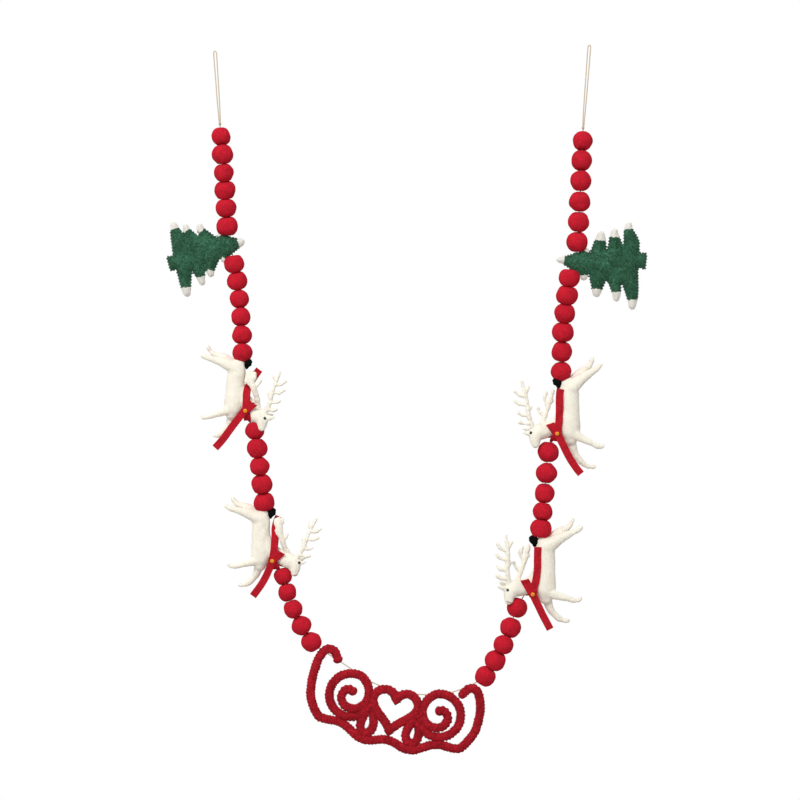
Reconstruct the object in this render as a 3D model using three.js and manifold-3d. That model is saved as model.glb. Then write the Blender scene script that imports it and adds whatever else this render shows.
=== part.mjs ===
// A felt ball garland: wool-felt balls threaded on a twine, with two stuffed fir trees, four stuffed
// reindeer in felt scarves and a scroll of felt cord at the foot of the swag. It hangs by two twine loops.
// Millimetres; +Z is up, +X runs along the wall and -Y faces the room. The origin is where the left loop
// lies over its hook.
import * as THREE from 'three';
import { mergeVertices } from 'three/addons/utils/BufferGeometryUtils.js';
import Module from 'manifold-3d';

const wasm = await Module();
wasm.setup();

// ---- driving dimensions ----
const TWINE_R = 0.8;
const TWINE_SIDES = 8;
const BORE_R = 1.35; // hole that the twine runs through in every felt piece
const CLEARANCE = 0.35; // between two felt pieces that touch
const BALL_SQUASH = 0.95; // a ball's height along the twine, as a share of its width
const BALL_SIDES = 9;
const BALL_RINGS = [-43, 0, 43]; // degrees from a ball's middle
const DEER_DEPTH = 0.88; // depth of the reindeer's trunk, as a share of its height
const TREE_DEPTH = 17; // a tree's stuffed thickness
const SCARF_WIDTH = 9.4;
const SCARF_THICK = 1.7;
const SCROLL_WIDTH = 11.2; // the scroll's stuffed felt cord, across
const SCROLL_DEPTH = 8.4; // and from front to back
const STOUT_SIDES = 8; // a limb of this many sides or more is rounded off at its ends

const FELT = { roughness: 0.95, metalness: 0 };
const RED_WOOL = { color: 0xc41e33, ...FELT };
const DARK_RED_WOOL = { color: 0xaa1c2a, ...FELT };
const GREEN_WOOL = { color: 0x2f6b4a, ...FELT };
const CREAM_WOOL = { color: 0xeae4d8, ...FELT };
const BLACK_WOOL = { color: 0x15191a, ...FELT };
const TWINE = { color: 0xcdbba0, roughness: 0.9, metalness: 0 };

// Eight runs of balls. from and to are the centres of the first and last ball, counted downwards, bow is how
// far the run swings out of the straight line between them, steps are the distances from ball to ball and
// widths are the balls' widths.
const RUNS = [
  { name: 'left_top', from: [7.9, -107.3], to: [15.2, -221.5], bow: 0.6,
    steps: [23.1, 23.5, 21.5, 22.8, 23.5], widths: [24.4, 27.0, 24.6, 27.0, 26.2, 27.6] },
  { name: 'left_upper', from: [24.5, -269.0], to: [34.9, -382.1], bow: 2.8,
    steps: [21.3, 23.7, 23.0, 22.6, 23.1], widths: [25.8, 25.8, 24.4, 25.2, 25.2, 25.6] },
  { name: 'left_middle', from: [50.7, -480.6], to: [62.5, -571.8], bow: 0,
    steps: [22.6, 23.9, 21.7, 23.8], widths: [24.6, 26.0, 25.2, 27.0, 27.0] },
  { name: 'left_lower', from: [86.4, -665.6], to: [122.4, -749.3], bow: -5.4,
    steps: [20.6, 23.1, 22.6, 24.8], widths: [23.4, 24.0, 24.4, 25.4, 26.2] },
  { name: 'right_lower', from: [383.4, -705.6], to: [343.2, -793.0], bow: 5.2,
    steps: [27.4, 22.6, 21.8, 24.4], widths: [26.0, 26.7, 25.4, 26.6, 26.0] },
  { name: 'right_middle', from: [423.5, -507.9], to: [413.8, -605.7], bow: 0.5,
    steps: [27.2, 26.6, 22.7, 21.8], widths: [27.0, 26.8, 25.7, 25.4, 27.4] },
  { name: 'right_upper', from: [450.0, -287.1], to: [439.4, -405.9], bow: -2.2,
    steps: [21.7, 23.1, 24.5, 24.4, 25.5], widths: [26.6, 28.0, 26.6, 27.6, 26.6, 26.0] },
  { name: 'right_top', from: [467.0, -112.8], to: [460.0, -241.3], bow: 0.5,
    steps: [24.5, 26.0, 27.6, 24.7, 25.9], widths: [25.7, 27.0, 27.0, 27.3, 27.3, 27.0] },
];

// Hanging loops: the inside top of each, the knot over the first ball, and the width of its eye.
const LOOPS = [
  { name: 'left', top: [0, 0], knot: [6.3, -92.0], eye: 3.6 },
  { name: 'right', top: [475.6, 7.6], knot: [467.5, -97.0], eye: 3.4 },
];

// Fir trees lie across the twine with their tips towards the middle. tip is where the top ends, lean the
// droop of the trunk in degrees, side +1 for a trunk pointing to +X, size the scale of the tiers, and
// trunkShift how far the foot of the trunk is sewn off the middle.
const TREES = [
  { name: 'fir_tree_left', tip: [37.8, -240.2], lean: 15.5, side: -1, size: 0.89, trunkShift: -2.5 },
  { name: 'fir_tree_right', tip: [433.7, -263.8], lean: 5.5, side: 1, size: 1, trunkShift: 9 },
];
// The ends of each tier's upper and lower branch, as distances along the trunk from the tip and out from it,
// and half the width of the ends.
const TIERS = [
  { up: [36.5, 18], down: [36.5, 22.6], half: 5 },
  { up: [53.2, 41], down: [54.7, 42], half: 6 },
  { up: [70.3, 46], down: [80, 45.3], half: 5.4 },
  { up: [87.5, 56], down: [101, 53.4], half: 5.8 },
];
// The notch behind each tier, and the trunk.
const NOTCHES = [
  { up: [42, 13.5], down: [43, 15.5] },
  { up: [62.4, 18.6], down: [66.1, 20.3] },
  { up: [82.7, 27], down: [85.5, 23.4] },
  { up: [102, 34], down: [107, 26] },
];
const TRUNK = { from: 104.5, to: 113.5, half: 10.5 };
const TREE_PUFF = 11; // how far in from the seam the stuffing reaches its full depth

// Reindeer, all from one pattern. Their own frame has its origin at the scarf's knot, x away from the
// garland's middle and z up; they leap with their backs to the middle. turn leans the whole animal, and the
// other turns are of the head on the neck, the antlers on the head, the legs at the hip and shoulder and the
// scarf's band about its knot, in degrees. bodyShift moves the trunk against the knot, and headShift is
// where the bent neck carries the head.
const DEER = [
  { name: 'left_upper', side: -1, knot: [39.4, -455.7], size: 0.91, turn: 5, bodyShift: [1, -1],
    headShift: [3, -11], headTurn: 8, hindTurn: -14, foreTurn: -6, antlerTurn: 2, bandTurn: 26 },
  { name: 'left_lower', side: -1, knot: [73.5, -645.4], size: 0.91, turn: 0.5, bodyShift: [0, -1],
    headShift: [-4, -6], headTurn: 9, hindTurn: -10, foreTurn: 2, antlerTurn: 0, bandTurn: 22 },
  { name: 'right_lower', side: 1, knot: [402.6, -687.5], size: 1, turn: 0, bodyShift: [0, 0],
    headShift: [0, 0], headTurn: 0, hindTurn: 0, foreTurn: 1, antlerTurn: -2, bandTurn: 0 },
  { name: 'right_upper', side: 1, knot: [433.5, -484.5], size: 0.99, turn: 1, bodyShift: [0.5, -1.5],
    headShift: [-0.5, -2.5], headTurn: 9, hindTurn: 1, foreTurn: -10, antlerTurn: -6, bandTurn: 2 },
];
// Each limb's sections are rows of x, y, z and radius.
const BODY = [
  [16.2, 0, 64.5, 9], [16.8, 0, 56, 12.4], [16.9, 0, 44, 12.7], [16.8, 0, 28, 13],
  [16.6, 0, 12, 13.8], [16.8, 0, 1, 12.8], [17.6, 0, -6.5, 8.6],
];
const NECK = [
  [14, 0, 33, 10.5], [10.8, 0, 25.2, 11.2], [4.9, 0, 15.6, 11], [-2.5, -0.6, 11, 10.4],
  [-8.6, -1.6, 8.4, 10],
];
const HEAD = [
  [-16.4, -3, 6.6, 10.2], [-23.3, -5, 6.4, 10.8], [-27.6, -7, 2.4, 9.4], [-29.3, -8.6, -3.4, 7.2],
  [-29.7, -9.6, -8.6, 5.4],
];
const NEAR_HIND = [
  [18, -3, 58, 10], [28.5, -4, 65.8, 8.2], [38, -5, 71.4, 6.4], [47.8, -5.5, 76, 4.7],
  [56.8, -5.5, 80.4, 3.6], [61.8, -5, 84, 3.1],
];
const FAR_HIND = [
  [18, 3, 60, 9.4], [27.5, 4, 69, 7.2], [36.5, 4.6, 76.6, 5.4], [45.5, 5, 83, 4], [50.4, 5, 89, 3.1],
  [52.8, 4.6, 94, 2.7],
];
const NEAR_FORE = [
  [19, -4, 2.5, 7.6], [30.5, -5, -2.2, 5.5], [41.5, -5.5, -5.6, 4.2], [51.5, -5.5, -8.8, 3.4],
  [58.5, -5, -9.4, 2.9], [61, -4.8, -6.6, 2.5],
];
const FAR_FORE = [
  [18, 3, -2, 8], [20.3, 3.5, -12.5, 6], [24.2, 4, -22.5, 4.8], [31.2, 4.2, -30.4, 4],
  [39.2, 4.2, -35.2, 3.4], [45.4, 4, -35.4, 2.9],
];
const EARS = [
  [[-29.5, -9, 6.6, 3.4], [-36.5, -11, 7.4, 3.6], [-43.2, -12, 9.6, 1.6]],
  [[-27.5, 2.4, 8.6, 3.4], [-34.5, 5, 10.4, 3.6], [-41, 6, 13.4, 1.6]],
];
const ANTLERS = [
  // near antler: trunk, then its tines
  [[-29.5, -8.5, 12.5, 3.5], [-32.6, -10.4, 30, 3.2], [-32.6, -10.6, 50, 2.9], [-35.6, -9.8, 73.5, 2.3]],
  [[-31.5, -10, 19, 2.5], [-40, -11, 19.4, 2.4], [-45, -11.4, 22.4, 2.1]],
  [[-32.6, -10.4, 30, 2.5], [-40.5, -11, 30.6, 2.4], [-45.2, -11.4, 34.4, 2.1]],
  [[-32.6, -10.6, 43, 2.5], [-42, -11.4, 45, 2.4], [-47.4, -11.8, 50.4, 2.1]],
  [[-33.2, -10.6, 54, 2.5], [-41.5, -11.2, 57, 2.3], [-46.4, -11.6, 63, 2]],
  [[-32.8, -10.6, 33, 2.4], [-27.8, -9.6, 40, 2]],
  [[-33.4, -10.4, 57, 2.4], [-27.4, -9.6, 66, 2]],
  // far antler: trunk, then its tines
  [[-22.2, 0.5, 12, 3.4], [-16, 3, 28, 3.1], [-10.4, 4, 44, 2.8], [-5.2, 4, 61, 2.2]],
  [[-11.4, 4, 41, 2.5], [-15.8, 4.6, 50.5, 2.3], [-13.4, 5, 58.6, 2]],
  [[-15.4, 3.2, 29, 2.5], [-21.4, 4.4, 33.6, 2.3], [-23.6, 5, 38.6, 2]],
  [[-9.6, 4, 47, 2.4], [-4.8, 3.6, 48.4, 2]],
];
const TAIL = [[0.8, -1.5, 69.4, 4.8], [2.6, -1.5, 67, 5.8], [3.4, -1.5, 63.6, 3.9], [3, -1.5, 60.8, 1.9]];
const NECK_PIVOT = [-12, 8];
const ANTLER_BASE = [-27, 12];
const HIP = [18, 60];
const SHOULDER = [18, 0];
const TWINE_BEND = [7.5, 0, 30]; // where the twine turns inside the reindeer

// Scarves. Each goes round the neck and is sewn down at the knot; back runs over the flank to the rump and
// front hangs free. Rows are x, y and z of the strip's middle line.
const BAND_SIDES = 12;
const NECK_BAND = { middle: [-4.6, -0.9, 10], lean: 30.5, inner: 11.1, depth: 0.95 };
const SCARF_ENDS = {
  left_upper: {
    back: [
      [0, -12.2, -2], [-1, -12.6, 8], [-1.6, -12.6, 17], [-2.6, -11.2, 29], [-7, -7.6, 41], [-13, -4, 51],
      [-17.4, -2.4, 58],
    ],
    front: [
      [-2, -12.2, 3], [5, -12.4, -5], [13, -12, -15], [22, -11.6, -27], [32, -11, -40.5], [42, -10.4, -51.5],
    ],
  },
  left_lower: {
    back: [
      [0, -12.2, -2], [-1.4, -12.6, 8], [-2.4, -12.6, 17], [-3.4, -12.4, 30], [-3.6, -12, 42],
      [-5, -10.4, 52], [-8.6, -8.6, 60],
    ],
    front: [
      [-1, -12.2, 3], [1.5, -12.4, -5], [5, -12, -13], [9, -11.6, -22], [16, -11.4, -34], [27, -11, -49],
    ],
  },
  right_lower: {
    back: [
      [0.6, -12.2, -2], [1.8, -12.6, 8], [4.2, -12.6, 17], [6, -12.6, 30], [6.2, -12.4, 42],
      [6.4, -11.6, 52], [6.8, -10.6, 59.6],
    ],
    front: [
      [-1.4, -12.2, 4], [3, -12.4, -6], [7, -12, -14], [12.2, -11.4, -25], [17.4, -11, -35],
      [22.4, -10.6, -44.4],
    ],
  },
  right_upper: {
    back: [
      [0.6, -12.2, -2], [1.6, -12.6, 8], [2.8, -12.6, 17], [3, -12.6, 29], [3, -12.4, 40],
      [3.4, -11.6, 50], [4.4, -10.6, 57],
    ],
    front: [
      [-1.4, -12.2, 4], [4, -12.4, -7], [9.4, -12, -18], [16, -11.4, -31], [23.6, -11, -42.5],
      [30.6, -10.6, -51.5],
    ],
  },
};

// Scroll of felt cord. Its frame is centred between the last balls and leans down to the right.
const SCROLL = { centre: [231, -820], lean: -13, halfWidth: 99 };
// The twine's height over the frame's line in the middle, and its rise at the ends.
const SCROLL_TWINE = { low: 8, rise: 33 };
const HEART = { middle: [0, -14], size: 1.8 };
const VOLUTE = { middle: [57.5, -10], outer: 27.5, inner: 5.5, turns: 1.7, open: 0.42, start: -150 };
const BUD = { middle: [29.5, -36], half: 10.5, tall: 33 };
const VINE = { low: -59, rise: 21, wave: 4, crests: 3, reach: 92 };
// The vine's two ends, from where they leave its waves up to the last balls.
const TENDRILS = {
  left: [[-102, -33], [-108, -19], [-110, -2], [-109.5, 14], [-107, 29], [-100.5, 40], [-91, 40], [-84, 31]],
  right: [[100, -34], [106, -20], [107.5, -4], [106.5, 10], [102, 24], [95, 32.5], [86, 31], [80, 22]],
};
const CORD_SIDES = 6;

// ---- helpers ----
const rad = THREE.MathUtils.degToRad;

// A curve through its points whose even steps fall on the points themselves.
class KnottedLine extends THREE.Curve {
  constructor(points) {
    super();
    this.points = points;
  }

  getPoint(t) {
    const place = t * (this.points.length - 1);
    const i = Math.min(Math.floor(place + 1e-9), this.points.length - 2);
    return this.points[i].clone().lerp(this.points[i + 1], place - i);
  }

  getPointAt(u) {
    return this.getPoint(u);
  }

  getTangentAt(u) {
    const i = Math.round(u * (this.points.length - 1));
    const before = this.points[Math.max(i - 1, 0)];
    const here = this.points[i];
    const after = this.points[Math.min(i + 1, this.points.length - 1)];
    const into = here.clone().sub(before).normalize();
    return after.clone().sub(here).normalize().add(into).normalize();
  }
}

// Six times the volume inside a welded geometry, below zero where its faces point inwards.
function signedVolume({ attributes, index }) {
  const corners = [0, 1, 2].map(() => new THREE.Vector3());
  let sum = 0;
  for (let i = 0; i < index.count; i += 3) {
    corners.forEach((corner, k) => corner.fromBufferAttribute(attributes.position, index.getX(i + k)));
    sum += corners[0].dot(corners[1].cross(corners[2]));
  }
  return sum;
}

// Welds a geometry's shared corners, drops the triangles that this closes up and turns its faces outwards.
function welded(geometry) {
  const bare = geometry.clone();
  bare.deleteAttribute('normal');
  bare.deleteAttribute('uv');
  const merged = mergeVertices(bare, 1e-4);
  const kept = [];
  for (let i = 0; i < merged.index.count; i += 3) {
    const [a, b, c] = [0, 1, 2].map((k) => merged.index.getX(i + k));
    if (a !== b && b !== c && c !== a) kept.push(a, b, c);
  }
  merged.setIndex(kept);
  if (signedVolume(merged) < 0) merged.setIndex(kept.reverse());
  return merged;
}

function toSolid(geometry) {
  const merged = welded(geometry);
  return new wasm.Manifold(new wasm.Mesh({
    numProp: 3,
    vertProperties: new Float32Array(merged.attributes.position.array),
    triVerts: new Uint32Array(merged.index.array),
  }));
}

function fuse(geometries) {
  return geometries.map(toSolid).reduce((sum, solid) => sum.add(solid));
}

// A piece without the slivers that a neighbour's cut leaves beside it.
function largestBody(solid) {
  return solid.decompose().reduce((most, body) => (body.volume() > most.volume() ? body : most));
}

function toGeometry(solid) {
  const mesh = solid.getMesh();
  const geometry = new THREE.BufferGeometry();
  geometry.setAttribute('position', new THREE.BufferAttribute(mesh.vertProperties, 3));
  geometry.setIndex(new THREE.BufferAttribute(mesh.triVerts, 1));
  return geometry;
}

// A round tube whose sections stand at the given points.
function tube(points, radius, sides) {
  const section = new THREE.Shape();
  for (let i = 0; i < sides; i += 1) {
    const angle = (2 * Math.PI * (i + 0.5)) / sides;
    section[i === 0 ? 'moveTo' : 'lineTo'](radius * Math.cos(angle), radius * Math.sin(angle));
  }
  section.closePath();
  return new THREE.ExtrudeGeometry(section, {
    steps: points.length - 1,
    extrudePath: new KnottedLine(points),
  });
}

// The direction of a line of points at one of them.
function tangentAt(points, i) {
  const before = points[Math.max(i - 1, 0)];
  const after = points[Math.min(i + 1, points.length - 1)];
  return after.clone().sub(before).normalize();
}

// A stuffed limb: sections of the rows' radii at the rows' points, closed by rounded ends. depth squashes
// the sections from front to back, and grow fattens the limb all over.
function limb(rows, sides, depth = 1, grow = 0) {
  const points = rows.map((row) => new THREE.Vector3(row[0], row[1], row[2]));
  const last = rows.length - 1;
  const rings = [];
  const endRing = (i, out, share) => {
    const radius = rows[i][3] + grow;
    const centre = points[i].clone().addScaledVector(tangentAt(points, i), out * radius);
    rings.push({ centre, radius: radius * share, along: tangentAt(points, i) });
  };
  const stout = sides >= STOUT_SIDES;
  endRing(0, -0.9, 0);
  if (stout) endRing(0, -0.58, 0.74);
  rows.forEach((row, i) => {
    rings.push({ centre: points[i], radius: row[3] + grow, along: tangentAt(points, i) });
  });
  if (stout) endRing(last, 0.58, 0.74);
  endRing(last, 0.9, 0);
  const profile = rings.map((ring, i) => new THREE.Vector2(ring.radius > 0 ? 1 : 0, i));
  const geometry = new THREE.LatheGeometry(profile, sides);
  const position = geometry.attributes.position;
  const front = new THREE.Vector3(0, 1, 0);
  for (let i = 0; i < position.count; i += 1) {
    const ring = rings[Math.round(position.getY(i))];
    const across = new THREE.Vector3().crossVectors(front, ring.along).normalize();
    const through = new THREE.Vector3().crossVectors(ring.along, across);
    const point = ring.centre.clone()
      .addScaledVector(across, ring.radius * position.getX(i))
      .addScaledVector(through, ring.radius * depth * position.getZ(i));
    position.setXYZ(i, point.x, point.y, point.z);
  }
  return geometry;
}

// A flat strip of felt that faces the front, along a line of points.
function strip(rows, width, thick) {
  const points = rows.map((row) => new THREE.Vector3(...row));
  const steps = points.length - 1;
  const geometry = new THREE.BoxGeometry(steps, thick, width, steps, 1, 1);
  const position = geometry.attributes.position;
  for (let i = 0; i < position.count; i += 1) {
    const place = Math.round(position.getX(i) + steps / 2);
    const along = tangentAt(points, place);
    const across = new THREE.Vector3().crossVectors(along, new THREE.Vector3(0, 1, 0)).normalize();
    const outward = new THREE.Vector3().crossVectors(across, along);
    const point = points[place].clone()
      .addScaledVector(across, position.getZ(i))
      .addScaledVector(outward, position.getY(i));
    position.setXYZ(i, point.x, point.y, point.z);
  }
  return geometry;
}

function turnedPlace([x, z], degrees) {
  const angle = rad(degrees);
  return [x * Math.cos(angle) - z * Math.sin(angle), x * Math.sin(angle) + z * Math.cos(angle)];
}

// Rows of a limb turned about a joint and shifted, in the plane of the garland.
function turnedRows(rows, [px, pz], degrees, [shiftX, shiftZ] = [0, 0]) {
  return rows.map(([x, y, z, radius]) => {
    const [tx, tz] = turnedPlace([x - px, z - pz], degrees);
    return [px + tx + shiftX, y, pz + tz + shiftZ, radius];
  });
}

const group = new THREE.Group();

function place(name, geometry, finish, matrix) {
  const mesh = new THREE.Mesh(geometry, new THREE.MeshStandardMaterial(finish));
  mesh.name = name;
  if (matrix) matrix.decompose(mesh.position, mesh.quaternion, mesh.scale);
  group.add(mesh);
}

// ---- balls and the twine's knots between them ----
function runCentres(run) {
  const from = new THREE.Vector3(run.from[0], 0, run.from[1]);
  const to = new THREE.Vector3(run.to[0], 0, run.to[1]);
  const side = to.clone().sub(from).normalize();
  side.set(-side.z, 0, side.x);
  const whole = run.steps.reduce((sum, step) => sum + step, 0);
  let reached = 0;
  return run.widths.map((width, i) => {
    const share = reached / whole;
    reached += run.steps[i] ?? 0;
    return from.clone().lerp(to, share).addScaledVector(side, run.bow * Math.sin(Math.PI * share));
  });
}

// Points halfway between neighbouring balls, and as far beyond the first and the last.
function runJoins(centres) {
  const joins = centres.slice(1).map((centre, i) => centre.clone().lerp(centres[i], 0.5));
  joins.unshift(centres[0].clone().multiplyScalar(2).sub(joins[0]));
  joins.push(centres.at(-1).clone().multiplyScalar(2).sub(joins.at(-1)));
  return joins;
}

// A ball with its bore, or without it and swollen by grow.
function ballGeometry(width, height, grow = 0) {
  const radius = width / 2 + grow;
  const half = height / 2 + grow;
  const profile = [new THREE.Vector2(BORE_R, -half)];
  for (const angle of BALL_RINGS) {
    const across = Math.cos(rad(angle)) ** 0.92;
    profile.push(new THREE.Vector2(radius * across, half * 1.08 * Math.sin(rad(angle))));
  }
  profile.push(new THREE.Vector2(BORE_R, half));
  if (grow) {
    profile.unshift(new THREE.Vector2(0, -half));
    profile.push(new THREE.Vector2(0, half));
  } else {
    profile.push(profile[0].clone());
  }
  return new THREE.LatheGeometry(profile, BALL_SIDES);
}

const balls = [];
const joinsOf = {};
for (const run of RUNS) {
  const joins = runJoins(runCentres(run));
  joinsOf[run.name] = joins;
  run.widths.forEach((width, i) => {
    const from = joins[i];
    const to = joins[i + 1];
    const height = Math.min(width * BALL_SQUASH, from.distanceTo(to) - 2 * CLEARANCE);
    const axis = to.clone().sub(from).normalize();
    const turn = new THREE.Quaternion().setFromUnitVectors(new THREE.Vector3(0, 1, 0), axis);
    const centre = from.clone().lerp(to, 0.5);
    const matrix = new THREE.Matrix4().compose(centre, turn, new THREE.Vector3(1, 1, 1));
    const name = `ball_${run.name}_${i + 1}`;
    place(name, welded(ballGeometry(width, height)), RED_WOOL, matrix);
    balls.push({ centre, solid: toSolid(ballGeometry(width, height, CLEARANCE).applyMatrix4(matrix)) });
  });
}

// The balls near a place, a little swollen, to be cut out of what presses on them.
function ballsNear(centre, reach) {
  return balls.filter((ball) => ball.centre.distanceTo(centre) < reach).map((ball) => ball.solid);
}

// ---- the twine's route ----
function deerMatrix(deer) {
  const lean = new THREE.Matrix4().makeRotationY(-rad(deer.turn));
  const scale = new THREE.Matrix4().makeScale(deer.size, deer.size, deer.size);
  const mirror = new THREE.Matrix4().makeScale(deer.side, 1, 1);
  const move = new THREE.Matrix4().makeTranslation(deer.knot[0], 0, deer.knot[1]);
  return move.multiply(mirror).multiply(lean).multiply(scale);
}

function scrollPlace([x, z], y = 0) {
  const [tx, tz] = turnedPlace([x, z], SCROLL.lean);
  return new THREE.Vector3(SCROLL.centre[0] + tx, y, SCROLL.centre[1] + tz);
}

function twineBend(name) {
  const deer = DEER.find((one) => one.name === name);
  return new THREE.Vector3(...TWINE_BEND).applyMatrix4(deerMatrix(deer));
}

function scrollTwine() {
  return [-0.72, -0.36, 0, 0.36, 0.72].map((share) => {
    const height = SCROLL_TWINE.low + SCROLL_TWINE.rise * share * share;
    return scrollPlace([share * SCROLL.halfWidth, height]);
  });
}

const route = [
  new THREE.Vector3(LOOPS[0].knot[0], 0, LOOPS[0].knot[1]),
  ...joinsOf.left_top,
  ...joinsOf.left_upper,
  twineBend('left_upper'),
  ...joinsOf.left_middle,
  twineBend('left_lower'),
  ...joinsOf.left_lower,
  ...scrollTwine(),
  ...[...joinsOf.right_lower].reverse(),
  twineBend('right_lower'),
  ...[...joinsOf.right_middle].reverse(),
  twineBend('right_upper'),
  ...[...joinsOf.right_upper].reverse(),
  ...[...joinsOf.right_top].reverse(),
  new THREE.Vector3(LOOPS[1].knot[0], 0, LOOPS[1].knot[1]),
];
const boreSolid = toSolid(tube(route, BORE_R, TWINE_SIDES));

// A long narrow loop that starts and ends in its knot.
function loopPoints(loop) {
  const knot = new THREE.Vector3(loop.knot[0], 0, loop.knot[1]);
  const top = new THREE.Vector3(loop.top[0], 0, loop.top[1] + TWINE_R);
  const up = top.clone().sub(knot);
  const side = new THREE.Vector3(up.z, 0, -up.x).normalize();
  const half = loop.eye / 2;
  const rise = up.length();
  const legs = [[0, 0.35], [0.3, 0.75], [0.62, 0.9], [0.86, 1], [0.965, 0.98]];
  const across = [
    ...legs.map(([share, open]) => [-open * half, share * rise]),
    [-0.7 * half, rise - 0.3 * half],
    [0, rise],
    [0.7 * half, rise - 0.3 * half],
    ...legs.map(([share, open]) => [open * half, share * rise]).reverse(),
  ];
  const lift = up.normalize();
  return across.map(([out, height]) => knot.clone().addScaledVector(side, out).addScaledVector(lift, height));
}

function makeTwine() {
  const knots = LOOPS.map((loop) => {
    const ball = new THREE.SphereGeometry(TWINE_R * 2.3, 8, 6);
    return ball.translate(loop.knot[0], 0, loop.knot[1]);
  });
  const loops = LOOPS.map((loop) => tube(loopPoints(loop), TWINE_R, TWINE_SIDES));
  place('twine', toGeometry(fuse([tube(route, TWINE_R, TWINE_SIDES), ...loops, ...knots])), TWINE);
}

// ---- fir trees ----
// The seam round a tree, as pairs of points above and below the trunk, from the tip to the foot.
function treeSeam(trunkShift) {
  const pairs = [[[0, 0.6], [0, 0.6]], [[3.5, 4.4], [3.5, 4.4]], [[10, 6.4], [10, 6.6]]];
  TIERS.forEach(({ up, down, half }, i) => {
    for (const [step, share] of [[-1, 0.8], [-0.55, 0.97], [0.45, 1], [1, 0.84]]) {
      pairs.push([up, down].map(([along, out]) => [along + step * half, out * share]));
    }
    pairs.push([NOTCHES[i].up, NOTCHES[i].down]);
  });
  const above = TRUNK.half + trunkShift;
  const below = TRUNK.half - trunkShift;
  for (const [along, share] of [[TRUNK.from, 1], [TRUNK.to - 2, 1], [TRUNK.to, 0.8]]) {
    pairs.push([[along, above * share], [along, below * share]]);
  }
  return pairs;
}

// How far a point of the tree lies inside its seam.
function insideSeam(outline, x, z) {
  const point = new THREE.Vector3(x, 0, z);
  const nearest = new THREE.Vector3();
  const distances = outline.map((corner, i) => {
    const side = new THREE.Line3(corner, outline[(i + 1) % outline.length]);
    return side.closestPointToPoint(point, true, nearest).distanceTo(point);
  });
  return Math.min(...distances);
}

// A tree is two sheets sewn together along the seam and stuffed, so it is deepest away from the seam.
function treeGeometry(trunkShift) {
  const pairs = treeSeam(trunkShift);
  const upper = pairs.map(([[along, out]]) => new THREE.Vector3(along, 0, out));
  const lower = pairs.map(([, [along, out]]) => new THREE.Vector3(along, 0, -out));
  const outline = [...upper, ...lower.toReversed()];
  const shares = [0, 0.14, 0.36, 0.6, 0.84, 1];
  const front = shares.map((share) => [share, 1]);
  const back = shares.slice(1, -1).reverse().map((share) => [share, -1]);
  const loop = [...front, ...back, front[0]];
  const steps = [loop.length - 1, pairs.length - 1];
  const geometry = new THREE.PlaneGeometry(...steps, ...steps);
  const position = geometry.attributes.position;
  for (let i = 0; i < position.count; i += 1) {
    const row = Math.floor(i / loop.length);
    const [share, face] = loop[i % loop.length];
    const point = upper[row].clone().lerp(lower[row], share);
    const inside = Math.min(insideSeam(outline, point.x, point.z) / TREE_PUFF, 1);
    const depth = (TREE_DEPTH / 2) * Math.sin((inside * Math.PI) / 2) ** 0.75;
    position.setXYZ(i, point.x, face * depth, point.z);
  }
  return closedAtEnds(geometry, loop.length, pairs.length);
}

// Closes a sleeve of rings at its first and last ring.
function closedAtEnds(geometry, ringCount, rows) {
  const index = Array.from(geometry.index.array);
  for (const first of [0, (rows - 1) * ringCount]) {
    for (let k = 1; k < ringCount - 2; k += 1) {
      index.push(...(first ? [first, first + k + 1, first + k] : [first, first + k, first + k + 1]));
    }
  }
  geometry.setIndex(index);
  return geometry;
}

function makeTree(tree) {
  const matrix = new THREE.Matrix4().makeTranslation(tree.tip[0], 0, tree.tip[1])
    .multiply(new THREE.Matrix4().makeScale(tree.side * tree.size, tree.size, tree.size))
    .multiply(new THREE.Matrix4().makeRotationY(rad(tree.lean)));
  const near = new THREE.Vector3(20, 0, 0).applyMatrix4(matrix);
  let solid = toSolid(treeGeometry(tree.trunkShift).applyMatrix4(matrix));
  for (const ball of ballsNear(near, 60)) solid = solid.subtract(ball);
  place(tree.name, toGeometry(solid.subtract(boreSolid)), GREEN_WOOL);
}

// ---- reindeer, tails and scarves ----
function deerPieces(deer, grow) {
  const { bodyShift, headShift, headTurn, antlerTurn, hindTurn, foreTurn } = deer;
  const ofTrunk = (rows, pivot = [0, 0], degrees = 0) => turnedRows(rows, pivot, degrees, bodyShift);
  const ofHead = (rows) => turnedRows(rows, NECK_PIVOT, headTurn, headShift);
  const throat = headShift.map((shift, i) => (shift + bodyShift[i]) / 2);
  const neck = [
    ...ofTrunk(NECK.slice(0, -1)),
    ...turnedRows(NECK.slice(-1), NECK_PIVOT, 0, throat),
    ...ofHead(HEAD),
  ];
  return [
    limb(ofTrunk(BODY), 8, DEER_DEPTH, grow),
    limb(neck, 8, 0.92, grow),
    ...[NEAR_HIND, FAR_HIND].map((rows) => limb(ofTrunk(rows, HIP, hindTurn), 6, 0.9, grow)),
    ...[NEAR_FORE, FAR_FORE].map((rows) => limb(ofTrunk(rows, SHOULDER, foreTurn), 6, 0.9, grow)),
    ...EARS.map((rows) => limb(ofHead(rows), 4, 0.6, grow)),
    ...ANTLERS.map((rows) => limb(ofHead(turnedRows(rows, ANTLER_BASE, antlerTurn)), 4, 1, grow)),
  ].map((piece) => piece.applyMatrix4(deerMatrix(deer)));
}

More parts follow.
